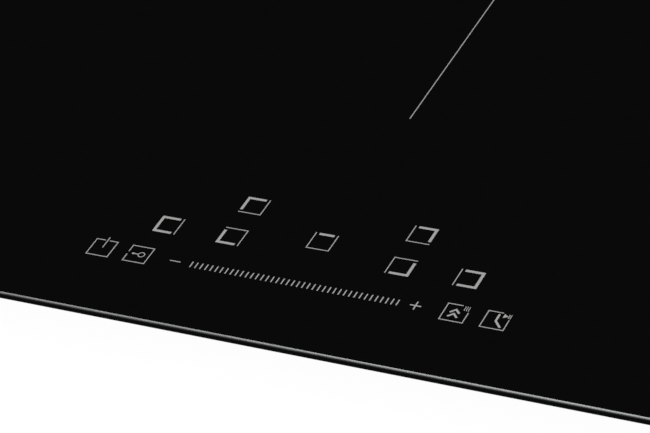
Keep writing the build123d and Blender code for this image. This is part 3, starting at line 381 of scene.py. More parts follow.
# Child lock: a square with a gap in its left line, and a small key that lies across it. The key
# has a ring for a bow, and its shank widens at the bit.
LOCK_GAP_START, LOCK_GAP_END = 0.43 * PITCH, 0.59 * PITCH
BOW_X, BOW_RADIUS, BOW_LINE = 0.63 * PITCH, 0.16 * PITCH, 0.54
SHANK_X, SHANK_LENGTH, SHANK_LINE = 0.325 * PITCH, 0.27 * PITCH, 0.055 * PITCH
BIT_X, BIT_SWELL = -0.095 * PITCH, 2.2              # from the shank's middle, and times its width
NECK_X, NECK_SWELL = 0.01 * PITCH, 0.8
lock_x, key_y = -INNER_X - HALF, row_low + 0.51 * PITCH
bars = key_lines(right=WHOLE, top=WHOLE, bottom=WHOLE,
                 left=((EDGE, LOCK_GAP_START), (LOCK_GAP_END, REACH)))
lock_square = settle(stencil(bars), lock_x, row_low)
bpy.ops.object.select_all(action="DESELECT")
bpy.ops.mesh.primitive_circle_add(vertices=40, radius=BOW_RADIUS * MM, fill_type="NGON")
bow = bpy.context.object
bpy.ops.object.mode_set(mode="EDIT")
bpy.ops.mesh.select_all(action="SELECT")
bpy.ops.mesh.inset(thickness=BOW_LINE * MM, use_even_offset=True)
bpy.ops.mesh.delete(type="FACE")
bpy.ops.object.mode_set(mode="OBJECT")
settle(bow, lock_x + BOW_X, key_y)
shank = start_flat(SHANK_LENGTH, SHANK_LINE)
score("X", BIT_X, NECK_X)
for x, swell in ((BIT_X, BIT_SWELL), (NECK_X, NECK_SWELL)):
    pick(shank, "VERT", lambda point: abs(point.x - x * MM) < HAIR)
    bpy.ops.transform.resize(value=(1, swell, 1), center_override=(0, 0, 0))
bpy.ops.object.mode_set(mode="OBJECT")
settle(shank, lock_x + SHANK_X, key_y)
fire("key_lock", lock_square, bow, shank)

# Boost: an open square, a double chevron for full power, and three wisps of heat at its corner.
OPEN = ((EDGE, 0.64 * PITCH),)                      # a side that stops short of the open corner
STROKE, LEG = 1.15, 0.33 * PITCH
CHEVRON_X, LOW_APEX, HIGH_APEX = 0.46 * PITCH, 0.50 * PITCH, 0.76 * PITCH
WISPS, WISP_STEPS = 3, 8
WISP_X, WISP_Y, WISP_GAP = 0.77 * PITCH, 0.85 * PITCH, 0.09 * PITCH
WISP_LENGTH, WISP_LINE, WISP_SWAY, WISP_LEAN = 0.27 * PITCH, 0.42, 0.2, math.radians(8)
boost_x = INNER_X - HALF
open_square = key_lines(left=WHOLE, bottom=WHOLE, top=OPEN, right=OPEN)
flats = [settle(stencil(open_square), boost_x, row_low)]
chevron = stencil([(-STROKE, 0, -LEG, 0), (-LEG, 0, -STROKE, 0)])
for mark, apex in zip(repeat(chevron, 2), (LOW_APEX, HIGH_APEX)):
    flats.append(settle(mark, boost_x + CHEVRON_X, row_low + apex, math.radians(45)))
wisp = start_flat(WISP_LINE, WISP_LENGTH)
score("Y", *[(step / WISP_STEPS - 0.5) * WISP_LENGTH for step in range(1, WISP_STEPS)])
bpy.ops.object.mode_set(mode="OBJECT")
for vertex in wisp.data.vertices:
    vertex.co.x += WISP_SWAY * MM * math.sin(vertex.co.y / (WISP_LENGTH * MM) * 2 * math.pi)
for i, mark in enumerate(repeat(wisp, WISPS)):
    flats.append(settle(mark, boost_x + WISP_X + i * WISP_GAP, row_low + WISP_Y, WISP_LEAN))
fire("key_boost", *flats)

# Timer: an open square, two clock hands with round ends, and small start and pause signs.
HAND = 1.25
ELBOW = Vector((0.50, 0.47)) * PITCH
LONG_TIP, SHORT_TIP = Vector((0.50, 0.86)) * PITCH, Vector((0.79, 0.155)) * PITCH
ARROW_X, ARROW_Y, ARROW_RADIUS = 0.765 * PITCH, 0.835 * PITCH, 0.14 * PITCH
PAUSE_X, PAUSE_GAP, PAUSE_Y = 0.92 * PITCH, 0.08 * PITCH, 0.84 * PITCH
PAUSE_LINE, PAUSE_LENGTH = 0.52, 0.24 * PITCH
timer_x = OUTER_X - HALF
flats = [settle(stencil(open_square), timer_x, row_low)]
hands = []
for tip in (LONG_TIP, SHORT_TIP):
    run = tip - ELBOW
    hand = start_flat(run.length + HAND, HAND, run.length / 2)
    bpy.ops.mesh.bevel(offset=ROUND_END * HAND * MM, segments=8, affect="VERTICES")
    bpy.ops.object.mode_set(mode="OBJECT")
    settle(hand, timer_x + ELBOW.x, row_low + ELBOW.y, math.atan2(run.y, run.x))
    thicken(hand)
    hands.append(hand)
clock, short_hand = hands
apply_to(clock, "BOOLEAN", operation="UNION", solver="EXACT", object=short_hand)
bpy.data.objects.remove(short_hand)
clock.name = clock.data.name = "key_timer_hands"
fix(clock)
bpy.ops.object.select_all(action="DESELECT")
bpy.ops.mesh.primitive_circle_add(vertices=3, radius=ARROW_RADIUS * MM, fill_type="NGON")
arrow = bpy.context.object
flats.append(settle(arrow, timer_x + ARROW_X, row_low + ARROW_Y, -math.pi / 2))
pause = stencil([(-PAUSE_LINE / 2, PAUSE_LINE / 2, -PAUSE_LENGTH / 2, PAUSE_LENGTH / 2)])
for i, mark in enumerate(repeat(pause, 2)):
    flats.append(settle(mark, timer_x + PAUSE_X + i * PAUSE_GAP, row_low + PAUSE_Y))
fire("key_timer", *flats)

# ---------------------------------------------------------------- printed slider
# The power slider is printed with the keys, in the same enamel: 41 short ticks in a row,
# between a minus and a plus.
TICKS, TICK_PITCH, TICK, TICK_DEPTH = 41, 3.168, 0.72, 4.8
SLIDER_Y = 51.2
MINUS_X, MINUS_LINE, PLUS_X, PLUS_LINE = -73.8, 0.66, 73.9, 0.8
SIGN, PLUS_WIDTH = 6.8, 6.7
tick = stencil([(-TICK / 2, TICK / 2, -TICK_DEPTH / 2, TICK_DEPTH / 2)])
apply_to(tick, "ARRAY", count=TICKS, use_relative_offset=False, use_constant_offset=True,
         constant_offset_displace=(TICK_PITCH * MM, 0, 0))
fire("slider_ticks", settle(tick, -TICK_PITCH * (TICKS - 1) / 2, SLIDER_Y))
minus = stencil([(-SIGN / 2, SIGN / 2, -MINUS_LINE / 2, MINUS_LINE / 2)])
fire("sign_minus", settle(minus, MINUS_X, ROW_Y))
plus = stencil([(-PLUS_WIDTH / 2, PLUS_WIDTH / 2, -PLUS_LINE / 2, PLUS_LINE / 2),
                (-PLUS_LINE / 2, PLUS_LINE / 2, -SIGN / 2, SIGN / 2)])
fire("sign_plus", settle(plus, PLUS_X, ROW_Y))

# ---------------------------------------------------------------- printed zones
# A thin line runs along the middle of the plate behind the keys, and a small cross marks
# the middle of each side zone's front and rear half. Both are the keys' enamel.
CENTRE_X, CENTRE_LINE, CENTRE_START, CENTRE_END = 0.2, 0.6, 209.0, 500.0
CROSS, CROSS_LINE = 14.0, 0.64
SIDE_ZONES = ("front_left", "rear_left", "front_right", "rear_right")
centre_line = stencil([(-CENTRE_LINE / 2, CENTRE_LINE / 2, CENTRE_START, CENTRE_END)])
fire("centre_line", settle(centre_line, CENTRE_X, 0.0))
cross = stencil([(-CROSS / 2, CROSS / 2, -CROSS_LINE / 2, CROSS_LINE / 2),
                 (-CROSS_LINE / 2, CROSS_LINE / 2, -CROSS / 2, CROSS / 2)])
crosses = repeat(cross, len(SIDE_ZONES))
for mark, zone in zip(crosses, SIDE_ZONES):
    low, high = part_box("winding_" + zone)
    settle(mark, (low.x + high.x) / 2 / MM, ((low.y + high.y) / 2 - FRONT_EDGE) / MM)
fire("zone_crosses", *crosses)

# ---------------------------------------------------------------- seal and bond
# A closed-cell foam tape runs round under the glass's edge and seals it to the worktop.
# Inside it, a bead of silicone bonds the glass to the pan's flange.


def foamed(name, dark, light, cell, crease=1.0, **sockets):
    """Foam: open or closed cells of one size, darker and lower in their middles."""
    material = finish(name, **sockets)
    place = add(material, "TexCoord", {}).outputs["Object"]
    cells = add(material, "TexVoronoi", {"Vector": place, "Scale": 1 / cell}).outputs["Distance"]
    colour = add(material, "Mix", {0: cells, 6: srgb(dark), 7: srgb(light)}, data_type="RGBA").outputs[2]
    dents = add(material, "Bump", {"Height": cells, "Distance": 0.2 * MM, "Strength": crease})
    feed(material, Base_Color=colour, Normal=dents.outputs["Normal"])
    return material


def dress(material, *names):
    """Gives CAD nodes a material."""
    for name in names:
        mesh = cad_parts[name].data
        mesh.materials.clear()
        mesh.materials.append(material)


# Foam tape: dull black with small cells. Silicone: a softly shining, slightly wavy black.
foam = foamed("closed_cell_foam_tape", "#0B0B0B", "#191919", cell=0.8 * MM, crease=0.6,
              Roughness=0.9, Specular_IOR_Level=0.2)
dress(foam, "edge_seal")
silicone = grained("black_silicone_adhesive", "#1B1B1C", "#262627", grain=6.0 * MM, raised=0.4 * MM,
                   Roughness=0.45)
dress(silicone, "glass_bond")

# ---------------------------------------------------------------- base pan
# One deep-drawn tray of galvanised steel sheet carries everything and closes the underside.
# The zinc froze in large flat crystals, each of which turns the light a little differently.
CRYSTAL, DRAW_MARK = 9.0 * MM, 1.5 * MM
FEATHER = 0.1                # roughness that the marks add to a crystal's own
zinc_coat = finish("galvanised_steel_sheet", Metallic=1.0)
place = add(zinc_coat, "TexCoord", {}).outputs["Object"]
spangle = add(zinc_coat, "TexVoronoi", {"Vector": place, "Scale": 1 / CRYSTAL}).outputs["Color"]
tone = add(zinc_coat, "SeparateXYZ", {"Vector": spangle}).outputs["X"]
drawn = add(zinc_coat, "TexNoise", {"Vector": place, "Scale": 1 / DRAW_MARK, "Detail": 4.0}).outputs["Fac"]
colour = add(zinc_coat, "Mix", {0: tone, 6: srgb("#A9ADAF"), 7: srgb("#C6CACB")},
             data_type="RGBA").outputs[2]
crystal = add(zinc_coat, "MapRange", {"Value": tone, "To Min": 0.30, "To Max": 0.44}).outputs[0]
feathers = add(zinc_coat, "Math", {0: drawn, 1: FEATHER, 2: crystal},
               operation="MULTIPLY_ADD").outputs[0]
skin = add(zinc_coat, "Bump", {"Height": drawn, "Distance": 0.03 * MM, "Strength": 0.5}).outputs["Normal"]
feed(zinc_coat, Base_Color=colour, Roughness=feathers, Normal=skin)
dress(zinc_coat, "base_pan")

# ---------------------------------------------------------------- pillars and screws
# Turned steel parts, zinc plated: a fine, slightly blue metal with a satin shine. The pillars
# stand on the pan's floor and carry the coil trays.
TINT, SATIN = 5.0 * MM, 0.5 * MM     # sizes of the tinted clouds and of the satin grain
plated = finish("zinc_plated_steel", Metallic=1.0)
place = add(plated, "TexCoord", {}).outputs["Object"]
tint = add(plated, "TexNoise", {"Vector": place, "Scale": 1 / TINT, "Detail": 3.0}).outputs["Fac"]
satin = add(plated, "TexNoise", {"Vector": place, "Scale": 1 / SATIN, "Detail": 2.0}).outputs["Fac"]
colour = add(plated, "Mix", {0: tint, 6: srgb("#B9BEC6"), 7: srgb("#CBCBC4")}, data_type="RGBA").outputs[2]
rough = add(plated, "MapRange", {"Value": satin, "To Min": 0.22, "To Max": 0.38}).outputs[0]
feed(plated, Base_Color=colour, Roughness=rough)
dress(plated, "tray_pillars", "tray_screws")

# ---------------------------------------------------------------- worktop clamps
# Each clamp is an arm of 2 mm steel strip with round ends, bent twice in a press, that turns on
# a bolt. A bent lug, spot-welded to the pan's wall, guides the bolt. All are zinc plated.
# Sizes on a piece are in mm, and boxes and pivots are in metres, as in model.glb.
GAUGE = 2.0                  # sheet of arms and lugs
BURR = 0.25                  # edges broken in the tumbler
SHARP = math.radians(50)     # an edge that turns by more than this is broken
BOLT = 2.35                  # outer radius of the thread
ARM_PLAY, LUG_PLAY = 0.2, 0.25       # between the bolt and its hole
ARM_BEND, LUG_BEND = 2.5, 1.8        # how far a bend reaches to each side of its line
ARM_LOW, ARM_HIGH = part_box("clamp_arm_rear_right")
ARM_WIDTH = (ARM_HIGH.x - ARM_LOW.x) / MM
ARM_LENGTH = (ARM_HIGH.y - ARM_LOW.y) / MM
PIVOT_X = (ARM_LOW.x + ARM_HIGH.x) / 2
PIVOT_Y = ARM_HIGH.y - ARM_WIDTH * MM / 2


def fold(strip, reach, *lines):
    """Rounds the sharp bends of a strip; each line is a test that a bend's points pass."""
    pick(strip, "EDGE", lambda a, b: any(line(a) and line(b) for line in lines))
    bpy.ops.mesh.bevel(offset=reach * MM, segments=5, affect="EDGES")
    leave_edit()


def deburr(piece):
    """Breaks a piece's sharp edges."""
    apply_to(piece, "BEVEL", width=BURR * MM, segments=2, limit_method="ANGLE", angle_limit=SHARP)


def press(strip, hole):
    """Gives a folded strip its gauge, pierces it round the Z axis and breaks its edges."""
    apply_to(strip, "SOLIDIFY", thickness=GAUGE * MM, offset=0.0, use_even_offset=True)
    bpy.ops.object.select_all(action="DESELECT")
    bpy.ops.mesh.primitive_cylinder_add(vertices=32, radius=hole * MM, depth=4 * GAUGE * MM,
                                        location=(0, 0, 0))
    punch = bpy.context.object
    apply_to(strip, "BOOLEAN", operation="DIFFERENCE", solver="EXACT", object=punch)
    bpy.data.objects.remove(punch)
    deburr(strip)


def plate_steel(name, pieces):
    """Joins pressed or turned pieces, smooths the shading of their curves and zinc plates them."""
    whole = join(name, pieces)
    bpy.ops.object.shade_smooth_by_angle(angle=math.radians(30))
    whole.data.materials.append(plated)
    return whole


# The arm: cut flat with round ends, then its far part lifted and the two bends rounded.
RAMP_START, RAMP_END = 13.0, 21.0
arm = start_flat(ARM_WIDTH, ARM_LENGTH, 0.0, (ARM_LENGTH - ARM_WIDTH) / 2)
bpy.ops.mesh.bevel(offset=ROUND_END * ARM_WIDTH * MM, segments=10, affect="VERTICES")
score("Y", RAMP_START, RAMP_END)
pick(arm, "VERT", lambda point: point.y > RAMP_END * MM - HAIR)
bpy.ops.transform.translate(value=(0, 0, ARM_HIGH.z - ARM_LOW.z - GAUGE * MM))
fold(arm, ARM_BEND, lambda point: abs(point.y - RAMP_START * MM) < HAIR,
     lambda point: abs(point.y - RAMP_END * MM) < HAIR)
press(arm, BOLT + ARM_PLAY)

# The lug: one leg flat against the wall, the other level, with the bolt's guide hole.
LUG_LOW, LUG_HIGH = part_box("clamp_lugs")
LUG_WIDTH, LUG_CORNER = 14.0, 2.5
WALL = -5.6                  # from the pivot back to the middle of the leg
lug_foot = (LUG_HIGH.x - PIVOT_X) / MM
lug_leg = (LUG_HIGH.z - LUG_LOW.z) / MM - GAUGE / 2
lug = start_flat(lug_foot - WALL + lug_leg, LUG_WIDTH, (lug_foot + WALL - lug_leg) / 2)
bpy.ops.mesh.bevel(offset=LUG_CORNER * MM, segments=5, affect="VERTICES")
score("X", WALL)
pick(lug, "VERT", lambda point: point.x < WALL * MM - HAIR)
bpy.ops.transform.rotate(value=-math.pi / 2, orient_axis="Y", center_override=(WALL * MM, 0, 0))
fold(lug, LUG_BEND, lambda point: abs(point.x - WALL * MM) < HAIR and abs(point.z) < HAIR)
press(lug, BOLT + LUG_PLAY)

# The bolt: a rolled thread, drawn as rings, on a hexagon head with a washer.
BOLT_LOW, BOLT_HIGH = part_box("clamp_screws")
HEAD, HEAD_RADIUS, WASHER, WASHER_RADIUS = 3.0, 4.4, 1.3, 5.2
THREAD_PITCH = 0.8
CORE = 0.86                  # the thread's inner radius, as a share of its outer one
threaded = (BOLT_HIGH.z - BOLT_LOW.z) / MM - HEAD
steps = 2 * round(threaded / THREAD_PITCH) + 1
bpy.ops.object.select_all(action="DESELECT")
bpy.ops.mesh.primitive_circle_add(vertices=24, radius=BOLT * MM, fill_type="NGON", location=(0, 0, 0))
rod = bpy.context.object
bpy.ops.object.mode_set(mode="EDIT")
bpy.ops.mesh.select_all(action="SELECT")
for step in range(steps):
    bpy.ops.mesh.extrude_region_move(TRANSFORM_OT_translate={"value": (0, 0, threaded * MM / steps)})
    swell = 1 / CORE if step % 2 else CORE
    bpy.ops.transform.resize(value=(swell, swell, 1))
bpy.ops.object.mode_set(mode="OBJECT")
bolt_parts = [rod]
for sides, radius, low, depth in ((6, HEAD_RADIUS, -HEAD, HEAD), (32, WASHER_RADIUS, 0.0, WASHER)):
    bpy.ops.object.select_all(action="DESELECT")
    bpy.ops.mesh.primitive_cylinder_add(vertices=sides, radius=radius * MM, depth=depth * MM,
                                        location=(0, 0, (low + depth / 2) * MM))
    disc = bpy.context.object
    deburr(disc)
    bpy.ops.object.transform_apply(location=True, rotation=True, scale=True)
    bolt_parts.append(disc)
bolt = join("bolt", bolt_parts)

# One arm, lug and bolt at each corner. The arms point towards the pan's middle when stowed.
clamps = {"front_left": (-1, -1), "front_right": (1, -1), "rear_left": (-1, 1), "rear_right": (1, 1)}
arms, lugs, bolts = [repeat(model, len(clamps)) for model in (arm, lug, bolt)]
for i, (corner, (side, end)) in enumerate(clamps.items()):
    x, y = side * PIVOT_X, end * PIVOT_Y
    set_down(arms[i], x, y, ARM_LOW.z + GAUGE / 2 * MM, math.pi if end > 0 else 0.0)
    set_down(lugs[i], x, y, LUG_LOW.z + GAUGE / 2 * MM, math.pi if side < 0 else 0.0)
    set_down(bolts[i], x, y, BOLT_LOW.z + HEAD * MM)
    own_arm = plate_steel("bent_arm_" + corner, [arms[i]])
    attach(own_arm, "clamp_" + corner)
    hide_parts("clamp_arm_" + corner)
for name, node, pieces in (("bent_lugs", "clamp_lugs", lugs), ("threaded_bolts", "clamp_screws", bolts)):
    fixed = plate_steel(name, pieces)
    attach(fixed, "hob")
    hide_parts(node)

# ---------------------------------------------------------------- coil trays
# Three trays of mill-finish aluminium sheet stand on the pillars. The rollers have left fine
# satin lines along the sheet, which stretch the highlights across it.
sheet_metal = grained("mill_finish_aluminium", "#C2C4C6", "#D6D8D9", grain=0.6 * MM, detail=3.0,
                      pull=(1.0, 0.02, 1.0), rough=(0.25, 0.42), Metallic=1.0)
dress(sheet_metal, "coil_tray_left", "coil_tray_right", "coil_tray_centre")

# ---------------------------------------------------------------- coils
# Each coil is a flat spiral of litz cable: many fine enamelled copper wires, laid like a rope.
# The turns show as rings round the coil's eye, and the strands as small uneven marks on them.
LITZ = 2.8 * MM              # from one turn to the next
STRAND = 0.7 * MM            # drawn coarser than real, to show
WAVE = 2 * math.pi / 20      # scale of a wave pattern, times the length of its wave
COILS = SIDE_ZONES + ("centre",)
for zone in COILS:
    low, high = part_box("winding_" + zone)
    litz = finish("litz_copper_" + zone, Metallic=0.6, Roughness=0.42)
    place = add(litz, "TexCoord", {}).outputs["Object"]
    middle = add(litz, "Mapping", {"Vector": place, "Location": -(low + high) / 2}).outputs[0]
    ring = add(litz, "TexWave", {"Vector": middle, "Scale": WAVE / LITZ}, wave_type="RINGS",
               rings_direction="Z").outputs["Fac"]
    strands = add(litz, "TexNoise", {"Vector": middle, "Scale": 1 / STRAND, "Detail": 2.0}).outputs["Fac"]
    metal = add(litz, "Mix", {0: ring, 6: srgb("#5A2C14"), 7: srgb("#B5673A")},
                data_type="RGBA").outputs[2]
    colour = add(litz, "Mix", {0: strands, 6: metal, 7: srgb("#8A4A28")}, data_type="RGBA").outputs[2]
    turns = add(litz, "Bump", {"Height": ring, "Distance": 0.8 * MM}).outputs["Normal"]
    feed(litz, Base_Color=colour, Normal=turns)
    dress(litz, "winding_" + zone)

# The windings lie in moulded plates of glass-filled polyamide: ivory, with flow marks.
polyamide = grained("glass_filled_polyamide", "#D0CCC0", "#E2DFD6", grain=1.2 * MM, detail=5.0,
                    raised=0.05 * MM, Roughness=0.5)
dress(polyamide, *["coil_carrier_" + zone for zone in COILS])

# The ferrite bars under them are pressed from iron oxide and fired: dark grey, dull in patches.
ferrite = grained("sintered_ferrite", "#26272A", "#3B3C40", grain=0.4 * MM, detail=3.0, rough=(0.35, 0.7),
                  Specular_IOR_Level=0.6)
dress(ferrite, "ferrite_bars")

# A mineral fibre felt keeps the glass's heat off the copper: cream white, matt and tangled.
mineral = grained("mineral_fibre_felt", "#C9C4B8", "#EFEBE1", grain=0.9 * MM, detail=6.0,
                  distortion=1.5, raised=0.3 * MM, Roughness=0.95)
dress(mineral, "insulation_left", "insulation_right", "insulation_centre")

# Each sensor is a pressed and fired steatite body: smooth, off-white, faintly speckled.
steatite = grained("steatite_sensor_body", "#D9D2C2", "#E9E4D8", grain=0.8 * MM, Roughness=0.35)
dress(steatite, "zone_sensors")

# ---------------------------------------------------------------- touch control
# A moulded tray holds the touch board against the glass. Blocks of conductive foam bring each
# key's field up to the glass, and light bars shine through it when a zone is on.

# Black ABS from a spark-eroded mould: a fine, even grain that breaks up the shine.
moulded = grained("moulded_abs_black", "#1F2022", "#2A2B2D", grain=0.4 * MM, rough=(0.5, 0.68),
                  raised=0.04 * MM)
dress(moulded, "control_tray", "board_carrier_left", "board_carrier_right")

# Solder resist, coated over the board's copper: glossy green, darker in the gaps between tracks.
FIELD, GAP = 6.0 * MM, 0.06  # a field is two tracks wide, and the gap is a share of it
resist = finish("green_solder_resist", Roughness=0.32)
place = add(resist, "TexCoord", {}).outputs["Object"]
tracks = add(resist, "TexBrick", {"Vector": place, "Scale": 1 / FIELD, "Mortar Size": GAP,
                                  "Color1": srgb("#17502F"), "Color2": srgb("#1B5B36"),
                                  "Mortar": srgb("#0E3A22")}).outputs["Color"]
feed(resist, Base_Color=tracks)
dress(resist, "control_board", "power_board_left", "power_board_right", "filter_board")

# Carbon-filled foam: charcoal, with open pores.
contact = foamed("conductive_foam", "#141416", "#34353A", cell=0.6 * MM, Roughness=0.92)
dress(contact, "touch_pads")

# Opal polycarbonate over the light bars: milky and half shiny.
diffuser = grained("milky_polycarbonate", "#B8B4B0", "#D2CFCB", grain=3.0 * MM, Roughness=0.4)
dress(diffuser, "display_modules")

# Ribbon cable, extruded round parallel wires: grey and ribbed, one rib to each wire.
WIRE_PITCH = 1.27 * MM
flex = finish("grey_pvc_ribbon", Roughness=0.45)
place = add(flex, "TexCoord", {}).outputs["Object"]
cores = add(flex, "TexWave", {"Vector": place, "Scale": WAVE / WIRE_PITCH},
            bands_direction="Y").outputs["Fac"]
colour = add(flex, "Mix", {0: cores, 6: srgb("#77797B"), 7: srgb("#9A9C9E")}, data_type="RGBA").outputs[2]
ribs = add(flex, "Bump", {"Height": cores, "Distance": 0.3 * MM}).outputs["Normal"]
feed(flex, Base_Color=colour, Normal=ribs)
dress(flex, "ribbon_cable")

# ---------------------------------------------------------------- power electronics
# One inverter board per side: an extruded heatsink in the fan's air, switches clamped to it,
# and boxed film capacitors. The mains filter has its own board with a wound choke.

# Extruded aluminium: silver grey, with the die's fine lines along its length.
extruded = grained("extruded_aluminium", "#B4B6B8", "#CDCFD0", grain=0.4 * MM, pull=(1.0, 0.03, 1.0),
                   rough=(0.3, 0.5), Metallic=1.0)
dress(extruded, "heatsink_left", "heatsink_right")

# Epoxy moulded round the switches: black and even.
epoxy = grained("moulded_epoxy", "#161718", "#232425", grain=0.3 * MM, Roughness=0.55)
dress(epoxy, "power_switches_left", "power_switches_right")

# Capacitor boxes of moulded polyester: yellow, half shiny, with faint flow marks.
boxed = grained("boxed_film_capacitor_pbt", "#B9A24A", "#C9B45C", grain=4.0 * MM, Roughness=0.4)
dress(boxed, "capacitors_left", "capacitors_right", "filter_capacitors")

# The choke's enamelled copper wire is wound round its core: dark red gaps between bright turns.
TURNS = 48
wound = finish("enamelled_copper_wire", Metallic=0.7, Roughness=0.35)
low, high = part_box("filter_choke")
place = add(wound, "TexCoord", {}).outputs["Object"]
middle = add(wound, "Mapping", {"Vector": place, "Location": -(low + high) / 2}).outputs[0]
round_core = add(wound, "TexGradient", {"Vector": middle}, gradient_type="RADIAL").outputs["Fac"]
wires = add(wound, "Math", {0: round_core, 1: 0.5 / TURNS}, operation="PINGPONG").outputs[0]
crest = add(wound, "Math", {0: wires, 1: 2.0 * TURNS}, operation="MULTIPLY").outputs[0]
colour = add(wound, "Mix", {0: crest, 6: srgb("#5E2E14"), 7: srgb("#B86B3C")}, data_type="RGBA").outputs[2]
feed(wound, Base_Color=colour)
dress(wound, "filter_choke")

# ---------------------------------------------------------------- fans
# Two small blowers draw air through the floor: scroll housing, wheel and lid moulded in
# glass-filled polyester, and a motor in a drawn steel can.

# Glass-filled polyester: black, and flecked with grey where fibres lie at the surface.
polyester = grained("glass_filled_polyester_black", "#191A1B", "#2D2E30", grain=0.7 * MM, detail=4.0,
                    rough=(0.42, 0.62))
dress(polyester, "fan_housing_left", "fan_housing_right", "fan_lid_left", "fan_lid_right",
      "fan_impeller_left", "fan_impeller_right")

# Drawn steel: bright grey, with faint marks of the drawing die.
can = grained("drawn_steel_can", "#9C9FA2", "#B5B8BA", grain=1.0 * MM, rough=(0.2, 0.34), Metallic=1.0)
dress(can, "fan_motor_left", "fan_motor_right")

# ---------------------------------------------------------------- mains entry
# Terminal block, frame, hinged cover and cable gland on the pan's rear wall, moulded in
# flame-retardant polyamide: light grey for the block and frame, black for cover and gland.

# Moulded polyamide has a fine, even grain, and the black is a little shinier than the grey.
grey_nylon = grained("light_grey_polyamide", "#8E9092", "#9C9EA0", grain=0.5 * MM, rough=(0.45, 0.6),
                     raised=0.05 * MM)
dress(grey_nylon, "terminal_frame", "terminal_block")
black_nylon = grained("black_polyamide", "#232426", "#303133", grain=0.5 * MM, rough=(0.4, 0.56),
                      raised=0.05 * MM)
dress(black_nylon, "terminal_cover", "cable_gland")

# Grip ribs stand out under the cover's finger tab, half sunk in its wall.
RIBS, FIRST_RIB, RIB_PITCH = 6, 5.5 * MM, 1.9 * MM
RIB_SIZE = (34.0 * MM, 1.0 * MM, 0.9 * MM)
COVER_LOW, COVER_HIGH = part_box("terminal_cover")
bpy.ops.object.select_all(action="DESELECT")
bpy.ops.mesh.primitive_cube_add(size=1.0, location=(0, 0, 0))
rib = bpy.context.object
bpy.ops.object.mode_set(mode="EDIT")
bpy.ops.transform.resize(value=RIB_SIZE)
bpy.ops.object.mode_set(mode="OBJECT")
deburr(rib)
ribs = repeat(rib, RIBS)
for i, rib in enumerate(ribs):
    rib_z = COVER_HIGH.z - FIRST_RIB - i * RIB_PITCH
    set_down(rib, (COVER_LOW.x + COVER_HIGH.x) / 2, COVER_HIGH.y, rib_z)
grip = join("cover_grip", ribs)
grip.data.materials.append(black_nylon)
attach(grip, "terminal_lid")

# A rubber ring lines the gland's mouth and grips the mains cord: black and dull, with a bloom.
RING_RADIUS, BEAD_RADIUS, RING_DEPTH = 4.5 * MM, 0.95 * MM, 1.3 * MM
GLAND_LOW, GLAND_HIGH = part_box("cable_gland")
gland_x, gland_z = (GLAND_LOW.x + GLAND_HIGH.x) / 2, (GLAND_LOW.z + GLAND_HIGH.z) / 2
bpy.ops.object.select_all(action="DESELECT")
bpy.ops.mesh.primitive_torus_add(major_radius=RING_RADIUS, minor_radius=BEAD_RADIUS,
                                 major_segments=36, minor_segments=12, location=(0, 0, 0))
ring = bpy.context.object
ring.name = ring.data.name = "gland_ring"
ring.rotation_euler.x = math.pi / 2
ring.location = (gland_x, GLAND_HIGH.y - RING_DEPTH, gland_z)
bpy.ops.object.transform_apply(location=True, rotation=True, scale=True)
bpy.ops.object.shade_smooth_by_angle(angle=math.radians(60))
rubber = grained("moulded_black_rubber", "#141414", "#202020", grain=2.0 * MM, rough=(0.6, 0.8),
                 Specular_IOR_Level=0.35)
ring.data.materials.append(rubber)
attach(ring, "hob")

# ---------------------------------------------------------------- studio
# A plain white floor under soft light from the front, with a white wall low all round and a
# dark ceiling, which the polished glass mirrors.
FLOOR_WIDTH = 60.0           # in metres
bpy.ops.object.select_all(action="DESELECT")
bpy.ops.mesh.primitive_plane_add(size=FLOOR_WIDTH, location=(0, 0, 0))
floor = bpy.context.object
floor.name = "floor"

# White paper: seen or mirrored, most of its brightness is its own glow, and the rest takes the
# part's shadow. To all other rays it is plain paper.
GLOW, FLOOR_LIGHT = 0.94, 1.02
paper = bpy.data.materials.new("white_paper_floor")
paper.use_nodes = True
paper.node_tree.nodes.clear()
rays = add(paper, "LightPath", {}).outputs
seen = add(paper, "Math", {0: rays["Is Camera Ray"], 1: rays["Is Glossy Ray"]},
           operation="MAXIMUM").outputs[0]
seen = add(paper, "Math", {0: seen, 1: rays["Is Transmission Ray"]}, operation="MAXIMUM").outputs[0]
glow = add(paper, "Math", {0: seen, 1: GLOW}, operation="MULTIPLY").outputs[0]
lit = add(paper, "BsdfDiffuse", {"Color": srgb("#F4F4F4")}).outputs[0]
white = add(paper, "Emission", {"Strength": FLOOR_LIGHT}).outputs[0]
mixed = add(paper, "MixShader", {0: glow, 1: lit, 2: white}).outputs[0]
add(paper, "OutputMaterial", {"Surface": mixed})
floor.data.materials.append(paper)

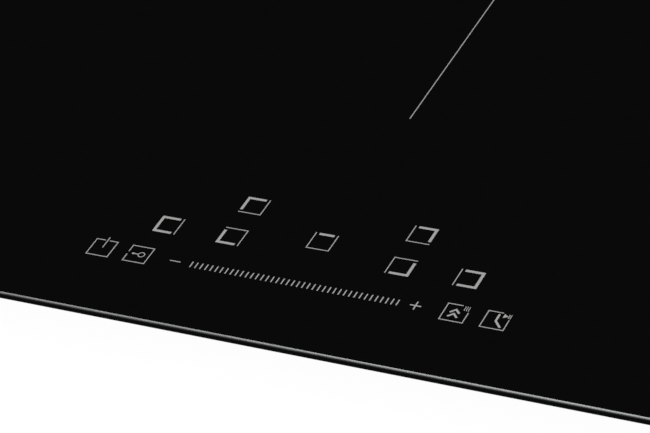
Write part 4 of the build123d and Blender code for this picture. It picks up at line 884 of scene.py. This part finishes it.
# The wall ends softly just above the horizon, and the dark above it fades towards the ceiling.
# Their starts and ends are heights on a dome with a radius of 1.
WALL_START, WALL_END, WALL_LIGHT = 0.0195, 0.03, 0.95
DARK_END, DARK_LOW, DARK_HIGH = 0.42, 0.06, 0.003
room = bpy.data.worlds.new("room")
bpy.context.scene.world = room
room.use_nodes = True
room.node_tree.nodes.clear()
facing = add(room, "TexCoord", {}).outputs["Generated"]
rise = add(room, "SeparateXYZ", {"Vector": facing}).outputs["Z"]
wall = add(room, "MapRange", {"Value": rise, "From Min": WALL_START, "From Max": WALL_END,
                              "To Min": WALL_LIGHT, "To Max": 0.0},
           interpolation_type="SMOOTHERSTEP").outputs[0]
upper = add(room, "MapRange", {"Value": rise, "From Min": 0.0, "From Max": DARK_END,
                               "To Min": DARK_LOW, "To Max": DARK_HIGH},
            interpolation_type="SMOOTHERSTEP").outputs[0]
both = add(room, "Math", {0: wall, 1: upper}, operation="ADD").outputs[0]
light = add(room, "Background", {"Color": (1, 1, 1, 1), "Strength": both}).outputs[0]
add(room, "OutputWorld", {"Surface": light})

# Two wide, soft lamps: one from the front right, and a weaker one from above. Each has its
# direction, its strength and its spread in degrees.
lamps = {"key": ((0.35, -0.55, 0.80), 3.0, 50), "top": ((0.0, 0.0, 1.0), 0.75, 60)}
for name, (aim, strength, spread) in lamps.items():
    bpy.ops.object.light_add(type="SUN")
    lamp = bpy.context.object
    lamp.name = name
    lamp.rotation_euler = Vector(aim).to_track_quat("Z", "Y").to_euler()
    lamp.data.energy = strength
    lamp.data.angle = math.radians(spread)

# The camera looks down over the front right corner, tilted to one side. Its place is in metres,
# its angles are in degrees, and its lens and sensor are in mm.
CAMERA_PLACE = (0.7102, -1.3275, 1.0828)
CAMERA_TURN, CAMERA_DIP, CAMERA_TILT = 31.385, 36.598, -10.124
LENS, SENSOR = 169.47, 36.0
bpy.ops.object.camera_add(location=CAMERA_PLACE)
camera = bpy.context.object
turned = Matrix.Rotation(math.radians(CAMERA_TURN), 3, "Z")
lowered = Matrix.Rotation(math.radians(90 - CAMERA_DIP), 3, "X")
tilted = Matrix.Rotation(math.radians(CAMERA_TILT), 3, "Z")
camera.rotation_euler = (turned @ lowered @ tilted).to_euler()
camera.data.lens = LENS
camera.data.sensor_width = SENSOR
bpy.context.scene.camera = camera
bpy.context.scene.view_settings.view_transform = "Standard"
